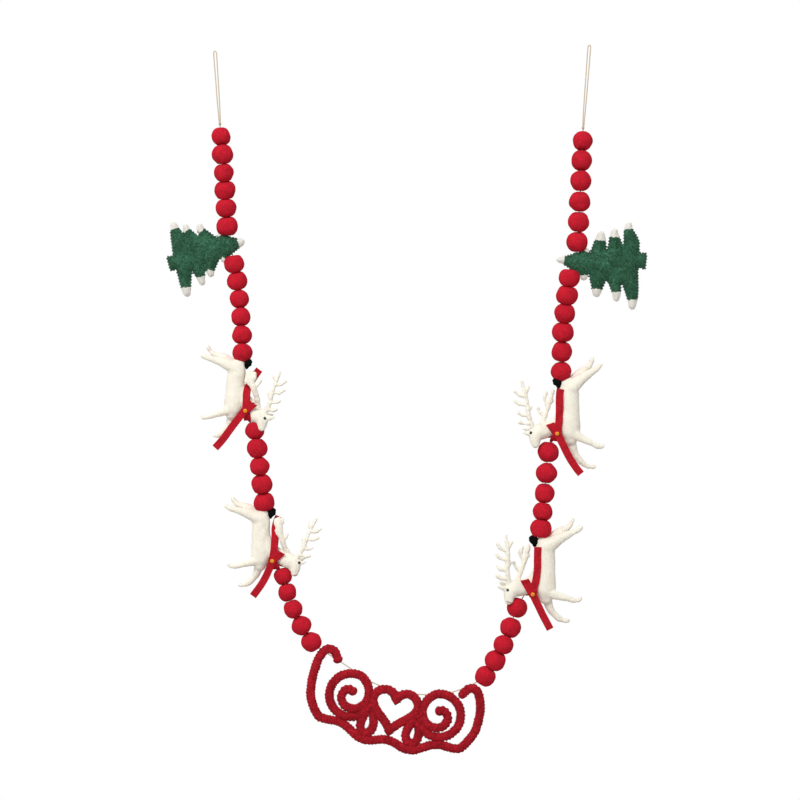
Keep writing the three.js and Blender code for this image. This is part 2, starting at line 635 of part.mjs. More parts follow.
// The scarf: a ring round the neck, with one end laid back over the flank and one hanging free.
function scarfPieces(deer) {
  const { middle, lean, inner, depth } = NECK_BAND;
  const half = SCARF_WIDTH / 2;
  const outer = inner + SCARF_THICK;
  const profile = [[inner, -half], [outer, -half], [outer, half], [inner, half], [inner, -half]];
  const band = new THREE.LatheGeometry(profile.map(([r, h]) => new THREE.Vector2(r, h)), BAND_SIDES);
  band.rotateZ(Math.PI / 2).scale(1, depth, 1).rotateY(-rad(lean)).translate(...middle);
  band.rotateY(-rad(deer.bandTurn)).applyMatrix4(deerMatrix(deer));
  const upright = deerMatrix({ ...deer, turn: 0 });
  const { back, front } = SCARF_ENDS[deer.name];
  return [band, ...[back, front].map((rows) => strip(rows, SCARF_WIDTH, SCARF_THICK).applyMatrix4(upright))];
}

function makeDeer(deer) {
  const matrix = deerMatrix(deer);
  const middle = new THREE.Vector3(0, 0, 30).applyMatrix4(matrix);
  const near = ballsNear(middle, 95);
  const cut = (solid) => near.reduce((left, ball) => left.subtract(ball), solid);
  const trunk = cut(fuse(deerPieces(deer, 0))).subtract(boreSolid);
  place(`reindeer_${deer.name}`, toGeometry(largestBody(trunk)), CREAM_WOOL);

  const swollen = fuse(deerPieces(deer, CLEARANCE));
  const pompom = toSolid(limb(turnedRows(TAIL, [0, 0], 0, deer.bodyShift), 8).applyMatrix4(matrix));
  const tail = cut(pompom).subtract(swollen).subtract(boreSolid);
  place(`tail_${deer.name}`, toGeometry(largestBody(tail)), BLACK_WOOL);

  const scarf = cut(fuse(scarfPieces(deer))).subtract(swollen);
  place(`scarf_${deer.name}`, toGeometry(largestBody(scarf)), RED_WOOL);
}

// ---- scroll of felt cord ----
function sampled(count, at) {
  return Array.from({ length: count + 1 }, (unused, i) => at(i / count));
}

function heartLine() {
  const [x0, z0] = HEART.middle;
  return sampled(16, (share) => {
    const t = Math.PI * (1 + 2 * share);
    const x = 16 * Math.sin(t) ** 3;
    const z = 13 * Math.cos(t) - 5 * Math.cos(2 * t) - 2 * Math.cos(3 * t) - Math.cos(4 * t);
    return [x0 + HEART.size * x, z0 + HEART.size * z];
  });
}

function voluteLine(side) {
  const { middle, outer, inner, turns, open, start } = VOLUTE;
  return sampled(18, (share) => {
    const angle = rad(start) + 2 * Math.PI * turns * share;
    const radius = outer - (outer - inner) * (Math.max(share - open, 0) / (1 - open)) ** 0.85;
    return [side * (middle[0] + radius * Math.cos(angle)), middle[1] + radius * Math.sin(angle)];
  });
}

// A drop-shaped loop with its point up, between the heart and a volute.
function budLine(side) {
  return sampled(12, (share) => {
    const t = share * 2 * Math.PI;
    const x = BUD.half * Math.sin(t) * Math.sin(t / 2);
    return [side * (BUD.middle[0] + x), BUD.middle[1] + (BUD.tall / 2) * Math.cos(t)];
  });
}

// The vine runs in waves under the volutes and the buds, and its two ends curl up beside the last balls.
function vineLine() {
  const foot = sampled(20, (share) => {
    const x = (2 * share - 1) * VINE.reach;
    const wave = VINE.wave * Math.cos(2 * Math.PI * VINE.crests * (share - 0.5));
    return [x, VINE.low + VINE.rise * (x / SCROLL.halfWidth) ** 2 + wave];
  });
  return [...TENDRILS.left.toReversed(), ...foot, ...TENDRILS.right];
}

// A stuffed cord of oval section along a line in the scroll's plane.
function feltCord(line) {
  const rows = line.map(([x, z]) => [x, 0, z, SCROLL_WIDTH / 2]);
  const first = rows[0];
  const last = rows.at(-1);
  const closed = Math.hypot(first[0] - last[0], first[2] - last[2]) < 1e-6;
  const open = limb(closed ? rows.slice(0, -1) : rows, CORD_SIDES, SCROLL_DEPTH / SCROLL_WIDTH);
  if (!closed) return [open];
  const joint = limb([rows.at(-3), rows.at(-2), first, rows[1]], CORD_SIDES, SCROLL_DEPTH / SCROLL_WIDTH);
  return [open, joint];
}

function makeScroll() {
  const pairs = [1, -1].flatMap((side) => [voluteLine(side), budLine(side)]);
  const lines = [heartLine(), ...pairs, vineLine()];
  const turn = new THREE.Matrix4().makeTranslation(SCROLL.centre[0], 0, SCROLL.centre[1])
    .multiply(new THREE.Matrix4().makeRotationY(-rad(SCROLL.lean)));
  let solid = fuse(lines.flatMap(feltCord).map((piece) => piece.applyMatrix4(turn)));
  const middle = new THREE.Vector3(SCROLL.centre[0], 0, SCROLL.centre[1]);
  for (const ball of ballsNear(middle, 170)) solid = solid.subtract(ball);
  place('felt_scroll', toGeometry(largestBody(solid.subtract(boreSolid))), DARK_RED_WOOL);
}

makeTwine();
TREES.forEach(makeTree);
DEER.forEach(makeDeer);
makeScroll();

export default group;
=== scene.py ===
import math
import random

import bmesh
import bpy
from mathutils import Matrix, Vector, noise
from mathutils.bvhtree import BVHTree
from mathutils.kdtree import KDTree


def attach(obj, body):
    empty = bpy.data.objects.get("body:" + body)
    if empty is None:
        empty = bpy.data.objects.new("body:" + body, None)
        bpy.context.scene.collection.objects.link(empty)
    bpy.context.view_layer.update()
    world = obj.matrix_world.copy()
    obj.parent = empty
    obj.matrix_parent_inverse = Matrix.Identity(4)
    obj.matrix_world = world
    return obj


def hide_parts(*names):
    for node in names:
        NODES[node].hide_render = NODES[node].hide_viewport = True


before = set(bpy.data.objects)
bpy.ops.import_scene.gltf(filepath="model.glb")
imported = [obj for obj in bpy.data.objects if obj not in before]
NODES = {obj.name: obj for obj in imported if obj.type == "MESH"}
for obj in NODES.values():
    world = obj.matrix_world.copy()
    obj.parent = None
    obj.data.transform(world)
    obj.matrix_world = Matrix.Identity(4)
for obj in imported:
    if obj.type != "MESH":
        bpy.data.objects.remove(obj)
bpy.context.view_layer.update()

bl_info = {
    "name": "Felt ball garland",
    "version": (1, 0, 0),
    "blender": (4, 5, 0),
    "location": "View3D > Sidebar > Garland",
    "description": "Wool-felt balls, reindeer, fir trees and a scroll of felt cord on a cotton twine",
    "category": "Add Mesh",
}

MM = 0.001
FRONT = Vector((0, -1, 0))

# ---- sizes of the object's pieces, in millimetres and degrees ----

# The view is 1.016 m across where the garland hangs.
AIM = (235, 0, -442)
CAMERA_DISTANCE = 2600
PLANE_WIDTH = 1016

# Hanging loops: the inside top, the knot over the first ball and the width of the eye.
LOOPS = [
    {"name": "left", "top": (0, 0), "knot": (6.3, -92), "eye": 3.6},
    {"name": "right", "top": (475.6, 7.6), "knot": (467.5, -97), "eye": 3.4},
]
# One leg of a loop, as shares of half its eye and of its rise.
LOOP_LEG = [(0, 0.35), (0.3, 0.75), (0.62, 0.9), (0.86, 1), (0.965, 0.98)]

RUN_COUNTS = {
    "left_top": 6, "left_upper": 6, "left_middle": 5, "left_lower": 5,
    "right_lower": 5, "right_middle": 5, "right_upper": 6, "right_top": 6,
}

# Fir trees: where the tip ends, the trunk's droop, which way it points, its scale, the shift of its foot,
# half the width behind the tip, and how square the pale tips' seams are cut.
TREES = [
    {"name": "left", "tip": (37.8, -240.2), "lean": 15.5, "side": -1, "size": 0.89, "shift": -2.5,
     "nose": 7.2, "square": -0.35},
    {"name": "right", "tip": (433.7, -263.8), "lean": 5.5, "side": 1, "size": 1, "shift": 9,
     "nose": 5.4, "square": 0.5},
]
# The end of each tier's upper and lower branch, along the trunk and out from it, half its width, and the
# lengths of its pale tips.
TIERS = {
    "left": [
        {"up": (32, 20.6), "down": (35.5, 21.6), "half": 4.6, "tips": (3.5, 5.5)},
        {"up": (56, 41), "down": (58.6, 36.6), "half": 5.6, "tips": (10, 8.5)},
        {"up": (75.4, 46), "down": (74, 44.6), "half": 5.4, "tips": (9.5, 12.5)},
        {"up": (91.5, 53), "down": (98.6, 54.2), "half": 6.6, "tips": (10, 12.5)},
    ],
    "right": [
        {"up": (36.5, 18), "down": (36.5, 22.6), "half": 5, "tips": (4, 6)},
        {"up": (53.2, 41), "down": (54.7, 42), "half": 6, "tips": (11.5, 9.5)},
        {"up": (70.3, 46), "down": (80, 45.3), "half": 5.4, "tips": (10.5, 11.5)},
        {"up": (87.5, 56), "down": (101, 53.4), "half": 5.8, "tips": (9, 12)},
    ],
}
TOP_TIP = 9.5
# The bottom of the notch behind each tier.
NOTCHES = {
    "left": [
        {"up": (37.4, 16), "down": (39.6, 12.6)},
        {"up": (60.4, 23.4), "down": (63.8, 17.4)},
        {"up": (80.6, 28.4), "down": (83.8, 22.8)},
        {"up": (102, 22), "down": (105, 16)},
    ],
    "right": [
        {"up": (42, 13.5), "down": (43, 15.5)},
        {"up": (62.4, 18.6), "down": (66.1, 20.3)},
        {"up": (82.7, 27), "down": (85.5, 23.4)},
        {"up": (102, 34), "down": (107, 26)},
    ],
}
# What stands for the notch before the first tier.
FIRST_NOTCH = (22, 12)
TRUNK = {"from": 104.5, "to": 113.5, "half": 10.5}
# A tree's seam: half its thickness, how far in from it the stuffing is at its deepest, how far the lobes
# between the stitches stand out, how far they do on the bare tips, and how far from a tip's end the
# stitches start.
SEAM = {"half": 1.2, "deepest": 16, "lobe": 2.6, "bare_lobe": 0.6, "stitched_from": 17.5}
# The edge of a tree's pale tips: over what length it fades, how far and how closely it wavers, and the
# farthest that a tip reaches to its sides.
TIP_EDGE = {"fade": 3.2, "waver": 0.9, "spread": 3.5, "widest": 8.2}

# Reindeer. Places on them count from the scarf's knot, x outwards and z up.
DEER = [
    {"name": "left_upper", "side": -1, "knot": (39.4, -455.7), "size": 0.91, "turn": 5,
     "body_shift": (1, -1), "head_shift": (3, -11), "head_turn": 8, "hind_turn": -14,
     "fore_turn": (-6, -6), "far_stretch": 1, "antler_turn": (2, -14), "wrap": (-6.8, -0.5, 17, 10.6),
     "eye": (-24.7, -9.4),
     "mouth": ((-28.5, -21.5), (-23.5, -23.5)), "short_end": (-11, 9.8), "notch": 0.8},
    {"name": "left_lower", "side": -1, "knot": (73.5, -645.4), "size": 0.91, "turn": 0.5,
     "body_shift": (0, -1), "head_shift": (-4, -6), "head_turn": 9, "hind_turn": -10,
     "fore_turn": (2, 2), "far_stretch": 1, "antler_turn": (11, -26), "wrap": (-7.5, -0.5, 18, 10.5),
     "eye": (-34.1, -2.3),
     "mouth": ((-32.5, -17.5), (-27, -19)), "short_end": (-11.5, 11), "notch": 0},
    {"name": "right_lower", "side": 1, "knot": (402.6, -687.5), "size": 1, "turn": 0,
     "body_shift": (0, 0), "head_shift": (0, 0), "head_turn": 0, "hind_turn": 0,
     "fore_turn": (1, 1), "far_stretch": 1, "antler_turn": (-2, -2), "wrap": (-5.5, 5, 28, 10.8),
     "eye": (-31.6, 5.4),
     "mouth": ((-32, -9), (-26.5, -11)), "short_end": (-10.4, 18.6), "notch": 0.6},
    {"name": "right_upper", "side": 1, "knot": (433.5, -484.5), "size": 0.99, "turn": 1,
     "body_shift": (0.5, -1.5), "head_shift": (-0.5, -2.5), "head_turn": 9, "hind_turn": 7,
     "fore_turn": (-10, -3), "far_stretch": 1.15, "antler_turn": (-2, -13), "wrap": (-5.6, 2.6, 18, 10.6),
     "eye": (-33.1, 1.1),
     "mouth": ((-27, -18.5), (-21.5, -20)), "short_end": (-8.8, 12.6), "notch": 0},
]
# Each limb's sections are rows of x, y, z and radius.
BODY = [
    (14.6, 0, 66, 9.4), (16.4, 0, 56, 12.4), (16.9, 0, 44, 12.7), (16.8, 0, 28, 13),
    (16.6, 0, 12, 13.8), (16.8, 0, 1, 12.8), (17.6, 0, -6.5, 8.6),
]
NECK = [
    (14, 0, 33, 10.5), (10.8, 0, 25.2, 11.2), (4.9, 0, 15.6, 11), (-2.5, -0.6, 11, 10.4),
    (-8.6, -1.6, 8.4, 10),
]
HEAD = [
    (-16.4, -3, 6.6, 10.2), (-23.3, -5, 6.4, 10.8), (-27.6, -7, 2.4, 9.4), (-29.3, -8.6, -3.4, 7.2),
    (-29.7, -9.6, -8.6, 5.4),
]
NEAR_HIND = [
    (18, -3, 58, 10), (28.5, -4, 65.8, 8.2), (38, -5, 71.4, 6.4), (47.8, -5.5, 76, 4.7),
    (56.8, -5.5, 80.4, 3.6), (61.8, -5, 84, 3.1),
]
FAR_HIND = [
    (18, 3, 60, 9.6), (27.2, 4, 70, 8), (36.2, 4.6, 78, 6), (45.5, 5, 83, 4),
    (50.4, 5, 89, 3.1), (52.8, 4.6, 94, 2.7),
]
NEAR_FORE = [
    (19, -4, 2.5, 7.6), (30.5, -5, -2.2, 5.5), (41.5, -5.5, -5.6, 4.2), (51.5, -5.5, -8.8, 3.4),
    (58.5, -5, -9.4, 2.9), (61, -4.8, -6.6, 2.5),
]
FAR_FORE = [
    (18, 3, -2, 8), (20.3, 3.5, -12.5, 6), (24.2, 4, -22.5, 4.8), (31.2, 4.2, -30.4, 4),
    (39.2, 4.2, -35.2, 3.4), (45.4, 4, -35.4, 2.9),
]
EARS = [
    [(-29.5, -9, 6.6, 3.4), (-36.5, -11, 7.4, 3.6), (-43.2, -12, 9.6, 1.6)],
    [(-27.5, 2.4, 8.6, 3.4), (-34.5, 5, 10.4, 3.6), (-41, 6, 13.4, 1.6)],
]
# Each antler's trunk, then its tines.
NEAR_ANTLER = [
    [(-29.5, -8.5, 12.5, 3.5), (-32.6, -10.4, 30, 3.2), (-32.6, -10.6, 50, 2.9), (-35.6, -9.8, 73.5, 2.3)],
    [(-31.5, -10, 19, 2.5), (-40, -11, 19.4, 2.4), (-45, -11.4, 22.4, 2.1)],
    [(-32.6, -10.4, 30, 2.5), (-40.5, -11, 30.6, 2.4), (-45.2, -11.4, 34.4, 2.1)],
    [(-32.6, -10.6, 43, 2.5), (-42, -11.4, 45, 2.4), (-47.4, -11.8, 50.4, 2.1)],
    [(-33.2, -10.6, 54, 2.5), (-41.5, -11.2, 57, 2.3), (-46.4, -11.6, 63, 2)],
    [(-32.8, -10.6, 33, 2.4), (-27.8, -9.6, 40, 2)],
    [(-33.4, -10.4, 57, 2.4), (-27.4, -9.6, 66, 2)],
]
FAR_ANTLER = [
    [(-20.5, 0.5, 12, 3.6), (-14.4, 2.4, 28, 3.3), (-9.6, 3.4, 44, 3), (-5.2, 3.4, 61, 2.4)],
    [(-11.4, 4, 41, 2.5), (-15.8, 4.6, 50.5, 2.3), (-13.4, 5, 58.6, 2)],
    [(-15.4, 3.2, 29, 2.5), (-21.4, 4.4, 33.6, 2.3), (-23.6, 5, 38.6, 2)],
    [(-9.6, 4, 47, 2.4), (-4.8, 3.6, 48.4, 2)],
]
# The far antlers of the left reindeer bend over their scarves, so they count from the knot too.
BENT_ANTLERS = {
    "left_upper": [
        [(-17.9, 0.5, -1.8, 3.8), (-14.6, -5, 16.8, 3.8), (-8.9, -9.6, 31.8, 4.2), (-2.7, -10, 44.5, 4.6),
         (0.4, -8.6, 53, 3.4)],
        [(-8.9, -9, 31.8, 3.2), (-14.6, -9.4, 39, 2.8), (-17.4, -9, 44.4, 2.2)],
        [(-3.6, -10, 42, 4), (-8, -10, 47.4, 3.8), (-8, -9.4, 52.6, 2.8)],
        [(-6, -10, 37, 3.8), (-1.4, -9.6, 38.4, 3.4), (3, -9, 42, 3)],
    ],
    "left_lower": [
        [(-25.3, 0.5, 1.7, 3.8), (-18.1, -5, 15.4, 3.8), (-13, -9.4, 29.7, 4.2), (-9.4, -10.4, 44, 4.8),
         (-8.6, -9.4, 58.3, 3.6)],
        [(-11.6, -10, 35, 3.4), (-6.6, -10.4, 38.6, 3), (-5.2, -10, 42, 2.2)],
        [(-9.4, -10.4, 46, 4.2), (-4.4, -10, 52, 3.6), (-4.4, -9, 57, 2.4)],
        [(-13.4, -9, 28, 2.8), (-19, -9.6, 33, 2.6), (-20.6, -9, 38, 2.1)],
        [(-9.2, -10, 49, 3), (-14, -9.6, 54, 2.6), (-14.4, -9, 59, 2.1)],
    ],
}
NECK_PIVOT = (-12, 8)
ANTLER_BASE = (-27, 12)
HIP = (18, 60)
SHOULDER = (18, 0)
# Where the twine bends inside a reindeer.
TWINE_BEND = (7.5, 0, 30)

# Scarves: the middle lines of the end over the flank, of the hanging end and, where it sags off the neck,
# of the turn below the knot.
SCARF_ENDS = {
    "left_upper": {
        "collar": [(1, -12.2, 2), (-1.6, -12, -4.4), (-2.4, -9.6, -9.6), (-2.6, -5, -12.6), (-2.6, 2, -13)],
        "back": [(0, -12.2, -2), (-1, -12.6, 8), (-1.4, -12.4, 16), (-1.7, -8, 25), (-3, -1, 33),
                 (-7, 3.5, 41), (-12.6, 3.5, 49.5), (-18.5, 1.5, 57.5)],
        "front": [(-2, -12.2, 3), (5, -12.4, -5), (13, -12, -15), (22, -11.6, -27),
                  (32, -11, -40.5), (42, -10.4, -51.5)],
    },
    "left_lower": {
        "collar": [(0, -12.2, 2), (-2.8, -12, -4.4), (-3.6, -9.4, -9), (-3.8, -5, -11.6), (-3.8, 2, -12)],
        "back": [(0, -12.2, -2), (-1.4, -12.6, 8), (-2.5, -12.6, 16), (-3.4, -8.5, 27), (-3.3, -2, 36),
                 (-3.2, 3, 45), (-5, 3.5, 53), (-8.4, 2, 61)],
        "front": [(-1, -12.2, 3), (1.5, -12.4, -5), (5, -12, -13), (9, -11.6, -22),
                  (16, -11.4, -34), (27, -11, -49)],
    },
    "right_lower": {
        "back": [(0.6, -12.2, -2), (1.8, -12.6, 8), (4.2, -12.6, 17), (6, -12.6, 30),
                 (6.2, -12.4, 42), (6.4, -11.6, 52), (6.8, -10.6, 59.6)],
        "front": [(-1.4, -12.2, 4), (3, -12.4, -6), (7, -12, -14), (12.2, -11.4, -25),
                  (17.4, -11, -35), (22.4, -10.6, -44.4)],
    },
    "right_upper": {
        "collar": [(0.4, -12.2, 2), (-1.4, -12, -3.4), (-3.2, -9.6, -6.6), (-3.8, -5, -8.6), (-3.8, 2, -9)],
        "back": [(0.6, -12.2, -2), (1.6, -12.6, 8), (2.8, -12.6, 17), (3, -12.6, 29),
                 (3, -12.4, 40), (3.4, -11.6, 50), (4.4, -10.6, 57)],
        "front": [(-1.4, -12.2, 4), (4, -12.4, -7), (9.4, -12, -18), (16, -11.4, -31),
                  (23.6, -11, -42.5), (30.6, -10.6, -51.5)],
    },
}

# A scarf's layers in the order in which they are laid, and how far each lies above what is under it.
LAYERS = {"turn": 0.9, "collar": 1.0, "back": 1.0, "short": 1.6, "front": 1.6}
# A strip lies on what is under it where that is no farther than this in front of its middle line or behind
# it. Elsewhere it hangs free.
STRIP_REACH = (4.5, 3.5)
# How much tighter and wider than its own radius a scarf's turn may lie on the neck.
TURN_SLACK = (-5, 0.8)
# How far in front of the garland's plane the scarves' knots are.
KNOT_DEPTH = 13.5

# Scroll of felt cord, in a frame centred between the last balls that leans down to the right.
SCROLL = {"centre": (231, -820), "lean": -13, "half_width": 99}
SCROLL_TWINE = {"low": 8, "rise": 33}
HEART = {"middle": (0, -14), "size": 1.8}
VOLUTE = {"middle": (57.5, -10), "outer": 27.5, "inner": 5.5, "turns": 1.7, "open": 0.42, "start": -150}
BUD = {"middle": (29.5, -36), "half": 10.5, "tall": 33}
VINE = {"low": -59, "rise": 21, "wave": 4, "crests": 3, "reach": 92}
TENDRILS = {
    "left": [(-102, -33), (-108, -19), (-110, -2), (-109.5, 14), (-107, 29), (-100.5, 40), (-91, 40),
             (-84, 31)],
    "right": [(100, -34), (106, -20), (107.5, -4), (106.5, 10), (102, 24), (95, 32.5), (86, 31),
              (80, 22)],
}

# Balls: how near each other two of them touch, how far their shared face sinks in, how many degrees it
# slants, and how soft its rim is.
BALL = {"touch": 1.5, "sink": 0.04, "slant": (11, 24), "rim": 1.3}
# How high a ball's lumps are beside the setting, and how many there are across it, largest first.
BALL_LUMPS = ((2.4, 1.2), (0.6, 3.1), (0.25, 8))
# The dimple where the twine goes in, as shares of the radius.
DIMPLE = {"deep": 0.06, "wide": 0.05}

# The wool's grain where parts are felted into one, the gap to the balls that press on it, the spread of its
# lumps, how high they are beside the setting, and their seed.
FELTED = {
    "tree": {"grain": 0.7, "gap": 0.15, "spread": 7, "high": 0.8, "seed": 2},
    "reindeer": {"grain": 1.0, "gap": 0.25, "spread": 8, "high": 1, "seed": 11},
    "tail": {"grain": 0.7, "spread": 3, "high": 1.6, "seed": 21},
    "scroll": {"gap": 0.2, "spread": 3.4, "high": 1.6, "seed": 31},
}
# How unevenly a reindeer's wool is wound on: how far it stands out, over what length, and the thinnest
# radius.
WOUND = {"uneven": 1.5, "spread": 3.2, "thinnest": 1.35}
# How rounded the ends of a limb or cord are.
ROUND_END = 0.9
# Radii of the threads and of the eyes' beads. The whip stitches' thread is twice as thick as a real one, so
# that it shows.
THREAD = {"whip_stitch": 0.55, "mouth": 0.45, "yellow_knot": 0.72}
EYE = 1.85
# How square a ball is where it is pressed: 2 is an ellipsoid.
SQUARENESS = 2.35
# The length in which the twine's plies turn once.
PLY_TURN = 6

# The stage, in metres. The softbox counts from the point that the camera looks at.
SOFTBOX = {"offset": (-1.35, -3.3, 2.75), "size": 2.2, "energy": 140}
FLOOR = {"radius": 7, "height": -1.02}
ROOM_LIGHT = 0.68


# ---- colours ----

def linear(hex_colour):
    """The linear RGB of an sRGB hex value."""
    shares = [int(hex_colour[i:i + 2], 16) / 255 for i in (1, 3, 5)]
    return [s / 12.92 if s <= 0.04045 else ((s + 0.055) / 1.055) ** 2.4 for s in shares]


def colour(name, hex_colour, words):
    return bpy.props.FloatVectorProperty(
        name=name, description=words, subtype="COLOR", size=3, min=0, max=1, default=linear(hex_colour))


def measure(name, millimetres, words):
    return bpy.props.FloatProperty(name=name, description=words, unit="LENGTH", default=millimetres * MM)


# ---- settings ----

class GARLAND_PG_wool(bpy.types.PropertyGroup):
    """Colours of the dyed wool, the twine and the threads."""
    red: colour("Ball red", "#C01D2E", "Wool of the balls")
    scarf: colour("Scarf red", "#B61D2A", "Felt of the scarves")
    dark_red: colour("Scroll red", "#AC1D29", "Wool of the felt cord")
    green: colour("Fir green", "#356149", "Wool of the fir trees")
    pale: colour("Tip white", "#F8F3EA", "Undyed wool of the trees' tips")
    cream: colour("Reindeer cream", "#FFF7E7", "Undyed wool of the reindeer")
    black: colour("Tail black", "#0B0D0E", "Wool of the tails")
    yellow: colour("Knot yellow", "#EFA118", "Thread of the scarves' knots")
    twine: colour("Twine", "#CDBBA0", "Cotton of the twine")


class GARLAND_PG_sizes(bpy.types.PropertyGroup):
    """Sizes of the pieces' finish."""
    twine: measure("Twine", 1.6, "Thickness of the cotton twine")
    scarf_width: measure("Scarf width", 9.4, "Width of the scarf's felt strip")
    scarf_thick: measure("Scarf felt", 1.5, "Thickness of the scarf's felt")
    tree_depth: measure("Tree depth", 17, "Stuffed thickness of the fir trees")
    stitch: measure("Stitch spacing", 3.9, "Distance between the whip stitches")
    cord_width: measure("Felt cord width", 11.5, "Width of the scroll's stuffed cord")
    cord_depth: measure("Felt cord depth", 8.4, "Depth of the scroll's stuffed cord")
    lumps: measure("Lumps", 0.45, "Height of the soft lumps of hand-felted wool")


# ---- mesh helpers ----

def sizes():
    return bpy.context.scene.garland_sizes


def at(place, y=0):
    """A place given by its x and z in millimetres, in metres."""
    return Vector((place[0], y, place[1])) * MM


def smooth_line(rows, spacing):
    """Rows of numbers, the first three of them a place, blended through evenly."""
    line = []
    for i in range(len(rows) - 1):
        around = [rows[max(i - 1, 0)], rows[i], rows[i + 1], rows[min(i + 2, len(rows) - 1)]]
        steps = max(1, round(math.dist(rows[i][:3], rows[i + 1][:3]) / spacing))
        for k in range(steps):
            t = k / steps
            line.append(tuple(
                b + 0.5 * t * (c - a + t * (2 * a - 5 * b + 4 * c - d + t * (3 * (b - c) + d - a)))
                for a, b, c, d in zip(*around)))
    line.append(tuple(rows[-1]))
    return line


def line_length(points):
    return sum(math.dist(a, b) for a, b in zip(points, points[1:]))


def along(points, i, closed=False):
    """The direction of a line of points at one of them."""
    last = len(points) - 1
    before = points[(i - 1) % len(points)] if closed else points[max(i - 1, 0)]
    after = points[(i + 1) % len(points)] if closed else points[min(i + 1, last)]
    return (after - before).normalized()


def off_line(tangent, across, angle, depth=1):
    """The way off a line at an angle from across, flattened to depth."""
    return math.cos(angle) * across + depth * math.sin(angle) * tangent.cross(across)


def grid(bm, columns, rows):
    """A new grid as its corners, each with its column and row."""
    made = bmesh.ops.create_grid(bm, x_segments=columns, y_segments=rows, size=1)["verts"]
    return [(v, round((v.co.x + 1) / 2 * columns), round((v.co.y + 1) / 2 * rows)) for v in made]


def weld(bm, corners):
    bmesh.ops.remove_doubles(bm, verts=corners, dist=2e-6)


def sleeve(bm, count, sides, place, closed=False):
    """A grid rolled into a sleeve: place(ring, angle) is each corner, and a ring of no width shuts an end."""
    made = grid(bm, sides, count if closed else count - 1)
    for v, side, ring in made:
        v.co = place(ring % count, math.tau * (side % sides) / sides)
    weld(bm, [v for v, _, _ in made])


def capped_sleeve(bm, points, sides, offset):
    """A sleeve along points, shut at its ends: offset(i, tangent, angle) goes from a point to a corner."""
    last = len(points) - 1

    def place(ring, angle):
        if ring in (0, last + 2):
            return points[0 if ring == 0 else last].copy()
        return points[ring - 1] + offset(ring - 1, along(points, ring - 1), angle)

    sleeve(bm, last + 3, sides, place)


def oval_sleeve(bm, points, radii, sides, depth=1, closed=False):
    """A round or oval sleeve along points, with rounded ends where it isn't closed."""
    last = len(points) - 1
    turns = [] if closed else [math.pi / 8 * k for k in range(4)]
    caps = [(math.cos(turn) * ROUND_END, math.sin(turn)) for turn in turns]
    rings = [(points[0] - along(points, 0) * radii[0] * out, radii[0] * share, 0) for out, share in caps]
    rings += [(point, radii[i], i) for i, point in enumerate(points)]
    rings += [(points[last] + along(points, last) * radii[last] * out, radii[last] * share, last)
              for out, share in reversed(caps)]

    def place(ring, angle):
        centre, radius, i = rings[ring]
        tangent = along(points, i, closed)
        return centre + radius * off_line(tangent, FRONT.cross(tangent).normalized(), angle, depth)

    sleeve(bm, len(rings), sides, place, closed)


def mesh_from(name, bm):
    """The bmesh as a mesh with its faces turned outwards."""
    bmesh.ops.recalc_face_normals(bm, faces=bm.faces)
    mesh = bpy.data.meshes.new(name)
    bm.to_mesh(mesh)
    bm.free()
    return mesh


def linked(name, mesh):
    """A mesh as an object in the scene."""
    piece = bpy.data.objects.new(name, mesh)
    bpy.context.scene.collection.objects.link(piece)
    return piece


def dress(piece, finish):
    piece.data.materials.clear()
    piece.data.materials.append(finish)
    piece.data.shade_smooth()


def make_piece(name, bm, finish):
    """The bmesh as an object of the garland."""
    piece = linked(name, mesh_from(name, bm))
    dress(piece, finish)
    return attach(piece, "root")


def settle(piece):
    """Applies the piece's modifiers."""
    shown = piece.evaluated_get(bpy.context.evaluated_depsgraph_get())
    mesh = bpy.data.meshes.new_from_object(shown)
    piece.modifiers.clear()
    piece.data = mesh


def felted(piece, kind):
    """Melts the piece's overlapping parts into one skin, as felting does."""
    finish = piece.data.materials[0]
    remesh = piece.modifiers.new("felting", "REMESH")
    remesh.mode = "VOXEL"
    remesh.voxel_size = FELTED[kind]["grain"] * MM
    settle(piece)
    dress(piece, finish)
    return piece


def reshape(piece, change):
    """Runs change(bm) on the piece's mesh."""
    bm = bmesh.new()
    bm.from_mesh(piece.data)
    change(bm)
    bm.normal_update()
    bm.to_mesh(piece.data)
    bm.free()
    piece.data.update()


def relax(bm, rounds, verts=None, factor=0.5, outline=True):
    """Evens a piece out, or its front and back alone where its outline has to stay."""
    for _ in range(rounds):
        bmesh.ops.smooth_vert(bm, verts=verts or bm.verts, factor=factor,
                              use_axis_x=outline, use_axis_y=True, use_axis_z=outline)


def lump(bm, kind, number=0):
    """Soft lumps of hand-felted wool: broad ones, and finer ones on them. Each number has its own."""
    bm.normal_update()
    height = sizes().lumps * FELTED[kind]["high"]
    spread = FELTED[kind]["spread"] * MM
    seed = FELTED[kind]["seed"] + number
    shift = Vector((seed * 7.3, seed * 3.1, seed * 5.7))
    for v in bm.verts:
        broad = noise.noise(v.co / spread + shift)
        fine = noise.noise(v.co / (spread * 0.3) + shift)
        v.co += v.normal * height * (broad + 0.35 * fine)


# ---- materials ----

def add(tree, kind, inputs=None, **settings):
    """Adds a node with its settings, and its inputs as values or as the sockets that feed them."""
    node = tree.nodes.new(kind)
    for name, value in settings.items():
        setattr(node, name, value)
    for key, value in (inputs or {}).items():
        if isinstance(value, bpy.types.NodeSocket):
            tree.links.new(value, node.inputs[key])
        else:
            node.inputs[key].default_value = value
    return node


def rgba(rgb, factor=1):
    return [min(c * factor, 1) for c in rgb] + [1]


def new_material(name):
    material = bpy.data.materials.new(name)
    material.use_nodes = True
    material.node_tree.nodes.clear()
    return material, material.node_tree


